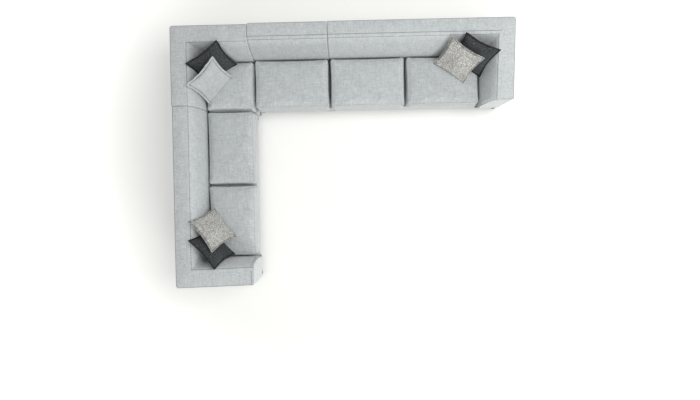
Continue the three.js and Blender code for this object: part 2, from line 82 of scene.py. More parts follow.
def node(tree, kind, inputs=None, **settings):
    made = tree.nodes.new(kind)
    for key, value in settings.items():
        setattr(made, key, value)
    for key, value in (inputs or {}).items():
        if isinstance(value, bpy.types.NodeSocket):
            tree.links.new(value, made.inputs[key])
        else:
            made.inputs[key].default_value = value
    return made


def calc(tree, operation, *values, clamp=False):
    return node(tree, "ShaderNodeMath", dict(enumerate(values)), operation=operation,
                use_clamp=clamp).outputs[0]


def seen_directly(tree):
    path = node(tree, "ShaderNodeLightPath")
    either = calc(tree, "MAXIMUM", path.outputs["Is Camera Ray"], path.outputs["Is Glossy Ray"])
    return calc(tree, "MAXIMUM", either, path.outputs["Is Transmission Ray"])


def new_material(name):
    material = bpy.data.materials.new(name)
    material.use_nodes = True
    material.node_tree.nodes.clear()
    return material, material.node_tree


def floor_material():
    material, tree = new_material("floor")
    coords = node(tree, "ShaderNodeTexCoord").outputs["Object"]
    grain = node(tree, "ShaderNodeTexNoise", {"Vector": coords, "Scale": 30.0, "Detail": 3.0})
    tone = node(tree, "ShaderNodeMapRange", {0: grain.outputs[0], 3: 0.92, 4: 0.96})
    colour = node(tree, "ShaderNodeCombineColor", {0: tone.outputs[0], 1: tone.outputs[0],
                                                   2: calc(tree, "MULTIPLY", tone.outputs[0], 0.96)})
    shader = node(tree, "ShaderNodeBsdfDiffuse", {"Color": colour.outputs[0]})
    away = node(tree, "ShaderNodeVectorMath", {0: coords}, operation="LENGTH").outputs["Value"]
    amount = node(tree, "ShaderNodeMapRange", {0: away, 1: 2.3, 2: 4.2, 3: FLOOR_LIFT, 4: FLOOR_LIFT + 0.5},
                  interpolation_type="SMOOTHSTEP").outputs[0]
    lift = node(tree, "ShaderNodeEmission", {"Color": (1, 1, 1, 1), "Strength": calc(
        tree, "MULTIPLY", seen_directly(tree), amount)})
    both = node(tree, "ShaderNodeAddShader", {0: shader.outputs[0], 1: lift.outputs[0]})
    node(tree, "ShaderNodeOutputMaterial", {"Surface": both.outputs[0]})
    return material


FLOOR_LIFT = 0.23
floor_mesh = bpy.data.meshes.new("floor")
floor_mesh.from_pydata([(-30, -30, 0), (30, -30, 0), (30, 30, 0), (-30, 30, 0)], [], [(0, 1, 2, 3)])
floor = bpy.data.objects.new("floor", floor_mesh)
scene.collection.objects.link(floor)
floor_mesh.materials.append(floor_material())

world = bpy.data.worlds.new("studio")
scene.world = world
world.use_nodes = True
world.node_tree.nodes.clear()
direct = seen_directly(world.node_tree)
world_light = node(world.node_tree, "ShaderNodeBackground", {0: (1, 1, 1, 1), 1: 0.48})
world_white = node(world.node_tree, "ShaderNodeBackground", {0: (1, 1, 1, 1), 1: 1.0})
world_mix = node(world.node_tree, "ShaderNodeMixShader",
                 {0: direct, 1: world_light.outputs[0], 2: world_white.outputs[0]})
node(world.node_tree, "ShaderNodeOutputWorld", {"Surface": world_mix.outputs[0]})


def area_light(name, place, aim, size, power, colour=(1, 1, 1)):
    data = bpy.data.lights.new(name, "AREA")
    data.shape = "RECTANGLE"
    data.size, data.size_y = size
    data.energy = power
    data.color = colour
    light = bpy.data.objects.new(name, data)
    scene.collection.objects.link(light)
    turn = (Vector(aim) - Vector(place)).to_track_quat("-Z", "Y")
    light.matrix_world = Matrix.Translation(place) @ turn.to_matrix().to_4x4()
    return light


area_light("overhead", (3.4, 0.3, 6.9), (0.2, 0.1, 0.0), (4.6, 4.4), 216)
area_light("front_right", (3.4, -8.4, 2.7), (0.0, 0.0, 0.4), (4.0, 2.4), 245)

# ---------------------------------------------------------------- materials


def output(tree, shader):
    node(tree, "ShaderNodeOutputMaterial", {"Surface": shader.outputs[0]})


def streaks(tree, coords, across, along, detail=2.0):
    """Noise drawn out along one thread direction: across and along are features per metre."""
    mapped = node(tree, "ShaderNodeMapping", {"Vector": coords, "Scale": (across, along, 1.0)})
    return node(tree, "ShaderNodeTexNoise", {"Vector": mapped.outputs[0], "Scale": 1.0,
                                             "Detail": detail, "Roughness": 0.6}).outputs[0]


def ramp(tree, value, stops):
    made = node(tree, "ShaderNodeValToRGB", {0: value})
    elements = made.color_ramp.elements
    while len(elements) < len(stops):
        elements.new(0.5)
    for element, (place, colour) in zip(elements, stops):
        element.position = place
        element.color = (*colour, 1)
    return made.outputs[0]


def linear(*srgb):
    return tuple(((v / 255 + 0.055) / 1.055) ** 2.4 if v > 10 else v / 255 / 12.92 for v in srgb)


def cloth_material(name, tones, pitch, slub, mottle, relief, sheen, stitch, seam_shade=0.6,
                   cross=0.5, seam_width=0.0035, heather=0.3):
    """Plain woven cloth: threads a pitch apart, slubs drawn out along both directions, and topstitched seams with
    painted shade along them.
    """
    material, tree = new_material(name)
    coords = node(tree, "ShaderNodeAttribute", attribute_name="weave").outputs["Vector"]
    seam = node(tree, "ShaderNodeAttribute", attribute_name="seam").outputs["Fac"]
    # dim darkens the cloth by its share: painted shade on the backs and seats, painted light on the arms' front panels
    # where it is below zero, and darker flanges on the pillows
    dim = node(tree, "ShaderNodeAttribute", attribute_name="dim").outputs["Fac"]
    split = node(tree, "ShaderNodeSeparateXYZ", {0: coords})
    along, across = split.outputs[0], split.outputs[1]
    warp = streaks(tree, coords, 1 / pitch, slub)
    weft = streaks(tree, coords, slub, 1 / pitch)
    fields = [(streaks(tree, coords, 150, 14), 0.42), (streaks(tree, coords, 14, 150), 0.42),
              (streaks(tree, coords, 60, 7, 3.0), 0.2), (streaks(tree, coords, 7, 60, 3.0), 0.2),
              (streaks(tree, coords, 8, 8, 3.0), 0.16), (streaks(tree, coords, 85, 85, 2.0), 0.5 * heather)]
    thread = calc(tree, "ADD", calc(tree, "MULTIPLY", warp, 1 - cross), calc(tree, "MULTIPLY", weft, cross))
    colour = ramp(tree, thread, tones)
    wave = [calc(tree, "SINE", calc(tree, "MULTIPLY", axis, math.pi / pitch)) for axis in (along, across)]
    weave = calc(tree, "ABSOLUTE", calc(tree, "MULTIPLY", *wave))
    shade = 1.0
    for field, amount in fields:
        shade = calc(tree, "ADD", shade, calc(tree, "MULTIPLY", calc(tree, "SUBTRACT", field, 0.5), amount * mottle))
    # painted shade in the dips between the threads, from the weave's pattern
    shade = calc(tree, "MULTIPLY", shade, node(
        tree, "ShaderNodeMapRange", {0: weave, 3: 0.94, 4: 1.05}).outputs[0])
    distance = calc(tree, "ABSOLUTE", seam)
    # painted shade along the seams, darkest at the seam line
    seam_shading = node(tree, "ShaderNodeMapRange", {0: distance, 1: 0.0005, 2: seam_width, 3: seam_shade, 4: 1.0},
                interpolation_type="SMOOTHSTEP").outputs[0]
    shade = calc(tree, "MULTIPLY", calc(tree, "MULTIPLY", shade, seam_shading), calc(tree, "SUBTRACT", 1.0, dim))
    line = calc(tree, "LESS_THAN", calc(tree, "ABSOLUTE", calc(tree, "SUBTRACT", distance, 0.0048)), 0.0006)
    dash = calc(tree, "LESS_THAN", calc(tree, "FRACT", calc(tree, "DIVIDE", calc(tree, "ADD", along, across), 0.006)), 0.68)
    sewn = calc(tree, "MULTIPLY", calc(tree, "MULTIPLY", line, dash), stitch)
    shade = calc(tree, "ADD", shade, calc(tree, "MULTIPLY", sewn, 0.12))
    tinted = node(tree, "ShaderNodeVectorMath", {0: colour, 3: shade}, operation="SCALE")
    height = calc(tree, "ADD", calc(tree, "MULTIPLY", weave, 0.5), calc(tree, "MULTIPLY", thread, 0.9))
    height = calc(tree, "ADD", height, calc(tree, "MULTIPLY", sewn, 0.8))
    bump = node(tree, "ShaderNodeBump", {"Strength": relief, "Distance": pitch * 0.5, "Height": height})
    rough = node(tree, "ShaderNodeMapRange", {0: thread, 3: 0.82, 4: 0.96})
    shader = node(tree, "ShaderNodeBsdfPrincipled", {
        "Base Color": tinted.outputs[0], "Roughness": rough.outputs[0], "Normal": bump.outputs[0]})
    shader.inputs["Sheen Weight"].default_value = sheen
    shader.inputs["Sheen Roughness"].default_value = 0.5
    shader.inputs["Specular IOR Level"].default_value = 0.25
    output(tree, shader)
    return material


def chunky_material(name, cream, taupe, dark, cell=0.0098):
    """Thick basket-like cloth: fat stitches of mixed tones in two directions, with painted shade between the stitches
    and along the seams.
    """
    material, tree = new_material(name)
    coords = node(tree, "ShaderNodeAttribute", attribute_name="weave").outputs["Vector"]
    seam = node(tree, "ShaderNodeAttribute", attribute_name="seam").outputs["Fac"]
    wobble = node(tree, "ShaderNodeTexNoise", {"Vector": coords, "Scale": 60.0, "Detail": 1.0})
    offset = node(tree, "ShaderNodeVectorMath", {0: wobble.outputs["Color"], 1: (0.5, 0.5, 0.5)},
                  operation="SUBTRACT")
    offset = node(tree, "ShaderNodeVectorMath", {0: offset.outputs[0], 3: cell * 0.7}, operation="SCALE")
    bent = node(tree, "ShaderNodeVectorMath", {0: coords, 1: offset.outputs[0]}, operation="ADD")
    scaled = node(tree, "ShaderNodeVectorMath", {0: bent.outputs[0], 3: 1 / cell}, operation="SCALE")
    split = node(tree, "ShaderNodeSeparateXYZ", {0: scaled.outputs[0]})
    row = calc(tree, "FLOOR", split.outputs[1])
    shifted = calc(tree, "ADD", split.outputs[0], calc(tree, "MULTIPLY", row, 0.5))
    column = calc(tree, "FLOOR", shifted)
    key = node(tree, "ShaderNodeCombineXYZ", {0: column, 1: row})
    chance = node(tree, "ShaderNodeTexWhiteNoise", {"Vector": key.outputs[0]}, noise_dimensions="2D").outputs[0]
    inside = [calc(tree, "SINE", calc(tree, "MULTIPLY", calc(tree, "FRACT", value), math.pi))
              for value in (shifted, split.outputs[1])]
    dome = calc(tree, "POWER", calc(tree, "MULTIPLY", *inside), 0.45)
    fibre = streaks(tree, coords, 700, 120)
    tone = calc(tree, "ADD", calc(tree, "MULTIPLY", chance, 0.6), calc(tree, "MULTIPLY", fibre, 0.4))
    colour = ramp(tree, tone, [(0.0, dark), (0.25, taupe), (0.5, taupe), (0.72, cream)])
    broad = streaks(tree, coords, 14, 14, 3.0)
    # painted shade between the fat stitches, darker towards each stitch's edge
    shade = node(tree, "ShaderNodeMapRange", {0: dome, 3: 0.3, 4: 1.12}).outputs[0]
    shade = calc(tree, "MULTIPLY", shade, node(tree, "ShaderNodeMapRange", {0: broad, 3: 0.86, 4: 1.14}).outputs[0])
    # painted shade along the seams
    seam_shading = node(tree, "ShaderNodeMapRange", {0: calc(tree, "ABSOLUTE", seam), 1: 0.0005, 2: 0.009, 3: 0.4, 4: 1.0})
    shade = calc(tree, "MULTIPLY", shade, seam_shading.outputs[0])
    tinted = node(tree, "ShaderNodeVectorMath", {0: colour, 3: shade}, operation="SCALE")
    height = calc(tree, "ADD", dome, calc(tree, "MULTIPLY", fibre, 0.25))
    bump = node(tree, "ShaderNodeBump", {"Strength": 0.8, "Distance": 0.0022, "Height": height})
    shader = node(tree, "ShaderNodeBsdfPrincipled", {
        "Base Color": tinted.outputs[0], "Roughness": 0.92, "Normal": bump.outputs[0]})
    shader.inputs["Sheen Weight"].default_value = 0.1
    shader.inputs["Specular IOR Level"].default_value = 0.2
    output(tree, shader)
    return material


def wood_material(name, pale, deep, rings, rough, gloss=0.3):
    material, tree = new_material(name)
    coords = node(tree, "ShaderNodeTexCoord").outputs["Object"]
    mapped = node(tree, "ShaderNodeMapping", {"Vector": coords, "Scale": rings})
    warp = node(tree, "ShaderNodeTexNoise", {"Vector": mapped.outputs[0], "Scale": 1.0, "Detail": 4.0})
    lines = node(tree, "ShaderNodeTexWave", {"Vector": mapped.outputs[0], "Scale": 0.8, "Distortion": 5.0,
                                             "Detail": 2.0})
    fine = node(tree, "ShaderNodeTexNoise", {"Vector": mapped.outputs[0], "Scale": 6.0, "Detail": 5.0})
    value = calc(tree, "ADD", calc(tree, "MULTIPLY", lines.outputs[1], 0.45),
                 calc(tree, "MULTIPLY", calc(tree, "ADD", warp.outputs[0], fine.outputs[0]), 0.28))
    colour = ramp(tree, value, [(0.15, deep), (0.55, tuple((a + b) / 2 for a, b in zip(pale, deep))), (0.9, pale)])
    bump = node(tree, "ShaderNodeBump", {"Strength": 0.25, "Distance": 0.0006, "Height": value})
    shader = node(tree, "ShaderNodeBsdfPrincipled", {"Base Color": colour, "Normal": bump.outputs[0],
                                                     "Roughness": node(tree, "ShaderNodeMapRange", {
                                                         0: fine.outputs[0], 3: rough - 0.08, 4: rough + 0.08}).outputs[0]})
    shader.inputs["Specular IOR Level"].default_value = gloss
    output(tree, shader)
    return material


def plywood_material():
    """Face veneer with a grain, and the plies' layers on the cut edges."""
    material, tree = new_material("plywood")
    coords = node(tree, "ShaderNodeTexCoord").outputs["Object"]
    face = node(tree, "ShaderNodeMapping", {"Vector": coords, "Scale": (5.0, 5.0, 40.0)})
    grain = node(tree, "ShaderNodeTexNoise", {"Vector": face.outputs[0], "Scale": 1.5, "Detail": 5.0})
    pores = node(tree, "ShaderNodeTexNoise", {"Vector": face.outputs[0], "Scale": 9.0, "Detail": 3.0})
    value = calc(tree, "ADD", calc(tree, "MULTIPLY", grain.outputs[0], 0.65),
                 calc(tree, "MULTIPLY", pores.outputs[0], 0.35))
    colour = ramp(tree, value, [(0.3, linear(176, 138, 92)), (0.5, linear(205, 172, 124)), (0.72, linear(222, 194, 150))])
    bump = node(tree, "ShaderNodeBump", {"Strength": 0.2, "Distance": 0.0005, "Height": value})
    shader = node(tree, "ShaderNodeBsdfPrincipled", {"Base Color": colour, "Normal": bump.outputs[0],
                                                     "Roughness": 0.68})
    output(tree, shader)
    return material


def strap_material():
    material, tree = new_material("webbing")
    coords = node(tree, "ShaderNodeAttribute", attribute_name="weave").outputs["Vector"]
    split = node(tree, "ShaderNodeSeparateXYZ", {0: coords})
    ribs = calc(tree, "ABSOLUTE", calc(tree, "SINE", calc(tree, "MULTIPLY", split.outputs[0], math.pi / 0.003)))
    bands = calc(tree, "ABSOLUTE", calc(tree, "SINE", calc(tree, "MULTIPLY", split.outputs[1], math.pi / 0.0045)))
    noise = streaks(tree, coords, 300, 60)
    value = calc(tree, "ADD", calc(tree, "MULTIPLY", ribs, 0.5), calc(tree, "MULTIPLY", noise, 0.5))
    colour = ramp(tree, value, [(0.2, linear(24, 24, 25)), (0.55, linear(52, 50, 48)), (0.9, linear(88, 84, 78))])
    bump = node(tree, "ShaderNodeBump", {"Strength": 0.5, "Distance": 0.0008,
                                         "Height": calc(tree, "ADD", ribs, calc(tree, "MULTIPLY", bands, 0.5))})
    shader = node(tree, "ShaderNodeBsdfPrincipled", {"Base Color": colour, "Normal": bump.outputs[0],
                                                     "Roughness": 0.8})
    output(tree, shader)
    return material


def metal_material():
    material, tree = new_material("steel")
    coords = node(tree, "ShaderNodeTexCoord").outputs["Object"]
    scratch = node(tree, "ShaderNodeMapping", {"Vector": coords, "Scale": (12.0, 400.0, 60.0)})
    noise = node(tree, "ShaderNodeTexNoise", {"Vector": scratch.outputs[0], "Scale": 1.0, "Detail": 4.0})
    blotch = node(tree, "ShaderNodeTexNoise", {"Vector": coords, "Scale": 40.0, "Detail": 3.0})
    colour = ramp(tree, blotch.outputs[0], [(0.3, linear(128, 130, 133)), (0.7, linear(168, 171, 174))])
    rough = node(tree, "ShaderNodeMapRange", {0: noise.outputs[0], 3: 0.28, 4: 0.5})
    bump = node(tree, "ShaderNodeBump", {"Strength": 0.15, "Distance": 0.0003, "Height": noise.outputs[0]})
    shader = node(tree, "ShaderNodeBsdfPrincipled", {"Base Color": colour, "Metallic": 1.0, "Normal": bump.outputs[0],
                                                     "Roughness": rough.outputs[0]})
    output(tree, shader)
    return material


def tones(*stops):
    return [(place, linear(*srgb)) for place, srgb in stops]


sofa_cloth = cloth_material(
    "sofa_fabric", tones((0.30, (184, 190, 191)), (0.5, (208, 213, 214)), (0.70, (230, 234, 235))),
    0.0019, 30, 1.25, 0.45, 0.4, 1.0, seam_shade=0.35, seam_width=0.005)
charcoal_cloth = cloth_material(
    "charcoal_fabric", tones((0.30, (26, 28, 29)), (0.5, (58, 61, 63)), (0.72, (126, 130, 132))),
    0.0024, 40, 1.5, 0.6, 0.1, 0.6, seam_shade=0.35, seam_width=0.009, heather=3.4)
pale_cloth = cloth_material(
    "light_pillow_fabric", tones((0.30, (172, 177, 179)), (0.5, (196, 200, 202)), (0.70, (217, 220, 221))),
    0.0019, 34, 1.25, 0.45, 0.3, 0.8, seam_shade=0.42, seam_width=0.006)
woven_cloth = chunky_material("woven_fabric", linear(250, 249, 245), linear(196, 195, 190), linear(112, 111, 108))
timber = wood_material("timber", linear(214, 180, 128), linear(158, 120, 74), (6.0, 6.0, 40.0), 0.65)
plywood = plywood_material()
leg_wood = wood_material("leg_wood", linear(44, 40, 38), linear(20, 19, 19), (30.0, 30.0, 6.0), 0.42, 0.5)
strap_cloth = strap_material()
dust_cloth = cloth_material(
    "dust_cover", tones((0.3, (20, 20, 21)), (0.5, (34, 34, 36)), (0.7, (52, 52, 55))), 0.0014, 60, 1.0, 0.5, 0.1, 0.0)
steel = metal_material()

# ---------------------------------------------------------------- sizes, in millimetres as in the model
DECK, SEAT, BACK, ARM_FRONT = 245.0, 430.0, 760.0, 642.0
BASE_BOTTOM, PAD_BOTTOM = 92.3, 245.3
GAP, CUSHION_GAP = 4.0, 5.0
REAR = dict(top=188, foot=311, full=1.25, edge=1.1)
WING = dict(top=176, foot=281, full=2, edge=1.45)
CORNER_SIDE = dict(top=180, foot=285, full=2, edge=1.45)
RIGHT_ARM = dict(top=192, foot=323, full=1.4, edge=1.2)
WING_ARM = dict(top=203, foot=299, full=2, edge=1.3)
MODULES = {
    "corner": dict(back=REAR, side=CORNER_SIDE, end="left", arm=False, reach=884, seats=[564.96], front=884,
                   width=849.96, joint_front=True, pinch=38),
    "armless": dict(back=REAR, side=None, end=None, arm=False, reach=0, seats=[880], front=878, width=880,
                    joint_front=False, pinch=0),
    "right_end": dict(back=REAR, side=RIGHT_ARM, end="right", arm=True, reach=883, seats=[881.76, 857.12],
                      front=878, width=2061.88, joint_front=False, pinch=26),
    "wing": dict(back=WING, side=WING_ARM, end="left", arm=True, reach=842, seats=[838.64, 864.16], front=832,
                 width=2001.8, joint_front=False, pinch=22),
}
ORIGIN = {"corner": (-1895.92, 1435.9), "armless": (-1045.96, 1446.9), "right_end": (-165.96, 1449.9),
          "wing": (-1888.92, -1449.9)}


def to_row(module, points):
    """Points in a module's own frame, in millimetres, to the row frame in metres."""
    points = np.asarray(points, float)
    x0, y0 = ORIGIN[module]
    if module == "wing":
        x, y = x0 - points[..., 1], y0 + points[..., 0]
    else:
        x, y = x0 + points[..., 0], y0 + points[..., 1]
    return np.stack([x, y, points[..., 2]], -1) * 0.001


# ---------------------------------------------------------------- mesh helpers


def make_object(name, points, faces, weave=None, seam=None, material=None, dim=None, cut=None):
    """weave holds cloth coordinates, kept per face corner; past the face numbered cut, its second layer is used."""
    mesh = bpy.data.meshes.new(name)
    mesh.from_pydata(np.asarray(points, float).tolist(), [], faces)
    mesh.polygons.foreach_set("use_smooth", np.ones(len(mesh.polygons), bool))
    if weave is not None:
        layers = weave if cut is not None else [weave]
        corners = [layers[0 if cut is None or i < cut else 1][list(face)] for i, face in enumerate(faces)]
        attribute = mesh.attributes.new("weave", "FLOAT_VECTOR", "CORNER")
        attribute.data.foreach_set("vector", np.vstack(corners).astype(np.float32).ravel())
    if dim is not None:
        attribute = mesh.attributes.new("dim", "FLOAT", "POINT")
        attribute.data.foreach_set("value", np.asarray(dim, np.float32).ravel())
    if seam is not None:
        attribute = mesh.attributes.new("seam", "FLOAT", "POINT")
        attribute.data.foreach_set("value", np.asarray(seam, np.float32).ravel())
    if material:
        mesh.materials.append(material)
    mesh.update()
    made = bpy.data.objects.new(name, mesh)
    scene.collection.objects.link(made)
    return made


def welded(made, distance=1e-6):
    work = bmesh.new()
    work.from_mesh(made.data)
    bmesh.ops.remove_doubles(work, verts=work.verts, dist=distance)
    # a long closing face is cut into triangles, so that it follows the surface round it
    bmesh.ops.triangulate(work, faces=[face for face in work.faces if len(face.verts) > 8])
    bmesh.ops.recalc_face_normals(work, faces=work.faces)
    if work.calc_volume(signed=True) < 0:
        bmesh.ops.reverse_faces(work, faces=work.faces)
    work.to_mesh(made.data)
    work.free()
    return made


def finish_piece(made, body, slot, *nodes, fill=None):
    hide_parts(*nodes)
    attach(made, body)
    return made


def grid_faces(rows, columns, start=0, flip=False, close=False):
    faces = []
    last = columns if close else columns - 1
    for r in range(rows - 1):
        for c in range(last):
            a, b = start + r * columns + c, start + r * columns + (c + 1) % columns
            d, e = a + columns, b + columns
            faces.append((a, d, e, b) if flip else (a, b, e, d))
    return faces


def ripple(points, wavelength, seed, stretch=(1, 1, 1), count=28):
    """A smooth field of mean 0 and spread 1, from a fixed set of waves."""
    rng = np.random.default_rng(seed)
    direction = rng.normal(size=(count, 3))
    direction /= np.linalg.norm(direction, axis=1)[:, None]
    scale = 2 * math.pi / (wavelength * rng.uniform(0.6, 1.6, count))
    waves = direction * scale[:, None] / np.asarray(stretch, float)
    return math.sqrt(2 / count) * np.cos(points @ waves.T + rng.uniform(0, 2 * math.pi, count)).sum(-1)


def normals_of(points, faces):
    """Vertex normals of a quad mesh."""
    quads = np.asarray([f for f in faces if len(f) == 4])
    cross = np.cross(points[quads[:, 2]] - points[quads[:, 0]], points[quads[:, 3]] - points[quads[:, 1]])
    total = np.zeros_like(points)
    for k in range(4):
        np.add.at(total, quads[:, k], cross)
    # points that lie together share one normal, so that panels sewn edge to edge don't part
    same = np.unique(np.round(points, 3), axis=0, return_inverse=True)[1].ravel()
    merged = np.zeros((same.max() + 1, 3))
    np.add.at(merged, same, total)
    total = merged[same]
    length = np.linalg.norm(total, axis=1)
    length[length == 0] = 1
    return total / length[:, None]


# ---------------------------------------------------------------- backs and arms


def pad_section(run, band_line=True):
    """Section of a back or arm: distance from its outer face, height, seam distance, looseness and fall."""
    top, foot = run["top"], run["foot"]
    edge = BACK - 6
    rows = [(30, BASE_BOTTOM, 0), (18, BASE_BOTTOM, 0), (10, BASE_BOTTOM, 0)]
    for degrees in (30, 60, 90):
        turn = math.radians(degrees)
        rows.append((10 - 10 * math.sin(turn), BASE_BOTTOM + 10 - 10 * math.cos(turn), 0.1))
    for k in range(1, 23):
        share = k / 22
        rows.append((0, 102.3 + (edge - 20 - 102.3) * share, 0.9 * min(1, 6 * share, 6 * (1 - share))))
    for k in range(1, 13):
        turn = math.radians(7.5 * k)
        rows.append((20 - 20 * math.cos(turn), edge - 20 + 20 * math.sin(turn), 0.1))
    crown = lambda d: edge + 6 * (1 - ((d - (top + 6) / 2) / ((top - 34) / 2)) ** 2)
    flat = [20 + (top - 64) * k / 11 for k in range(1, 12)]
    rows += [(d, crown(d), 1.5) for d in flat]
    rows += [(top - 44 + 2.4 * k, crown(top - 44 + 2.4 * k), 0.5) for k in range(1, 7)]
    for k in range(1, 10):
        d = top - 29.6 + k * 29.6 / 9
        rows.append((d, (crown(d) if d < top - 14 else edge - 7 * ((d - top + 14) / 14) ** 2), 0.4))
    seam_index = len(rows) - 1
    for k in range(1, 33):
        fall = (k / 32) ** 1.25
        reach = (1 - (1 - fall) ** run["full"]) ** (1 / run["edge"])
        rows.append((top + (foot - top) * reach, edge - 7 + (SEAT - edge + 7) * fall,
                     0.3 + 2.2 * math.sin(math.pi * min(1, fall * 1.15)) ** 0.7))
    for k in range(1, 8):
        share = k / 7
        rows.append((foot - 18 * share ** 2 * (3 - 2 * share), SEAT - (SEAT - PAD_BOTTOM) * share, 0.4))
    rows = np.array(rows, float)
    tail = np.array([(foot - 60, PAD_BOTTOM, 0), (30, PAD_BOTTOM, 0), (30, 160, 0), (30, BASE_BOTTOM, 0)], float)
    full_tail = np.array([(foot - 18, 150, 0), (foot - 18, 102.3, 0), (foot - 28, BASE_BOTTOM, 0),
                          (30, BASE_BOTTOM, 0)], float)
    path = np.vstack([rows, tail])
    step = np.linalg.norm(np.diff(path[:, :2], axis=0), axis=1)
    length = np.concatenate([[0], np.cumsum(step)])
    outer = 6 + 22 + 6 - 1
    band = int(np.argmin(np.abs(path[:, 0] - (top - 37)) + 1000 * (path[:, 1] < edge - 3)))
    seams = [length[outer], length[band], length[seam_index]]
    offsets = np.array([length - s for s in seams])
    shown = offsets if band_line else offsets[[0, 2]]
    nearest = np.abs(shown).min(0)
    depth = np.zeros(len(length))
    for offset, deep in zip(offsets, (1.6, 1.8 if band_line else 0.5, 2.6)):
        depth += deep * np.exp(-(offset / 2.3) ** 2)
    between = (length > seams[1] + 2) & (length < seams[2] - 2)
    fall = np.clip((edge - 7 - path[:, 1]) / (edge - 7 - SEAT), 0, 1) * (path[:, 0] > top - 1)
    return dict(d=path[:, 0], z=path[:, 1], loose=path[:, 2], v=length, seam=nearest,
                lift=between * 1.0 - depth, fall=fall, d_full=np.concatenate([rows[:, 0], full_tail[:, 0]]),
                z_full=np.concatenate([rows[:, 1], full_tail[:, 1]]))


def section_normals(d, z):
    along = np.stack([np.gradient(d), np.gradient(z)], -1)
    along /= np.maximum(np.linalg.norm(along, axis=1), 1e-9)[:, None]
    return np.stack([-along[:, 1], along[:, 0]], -1)


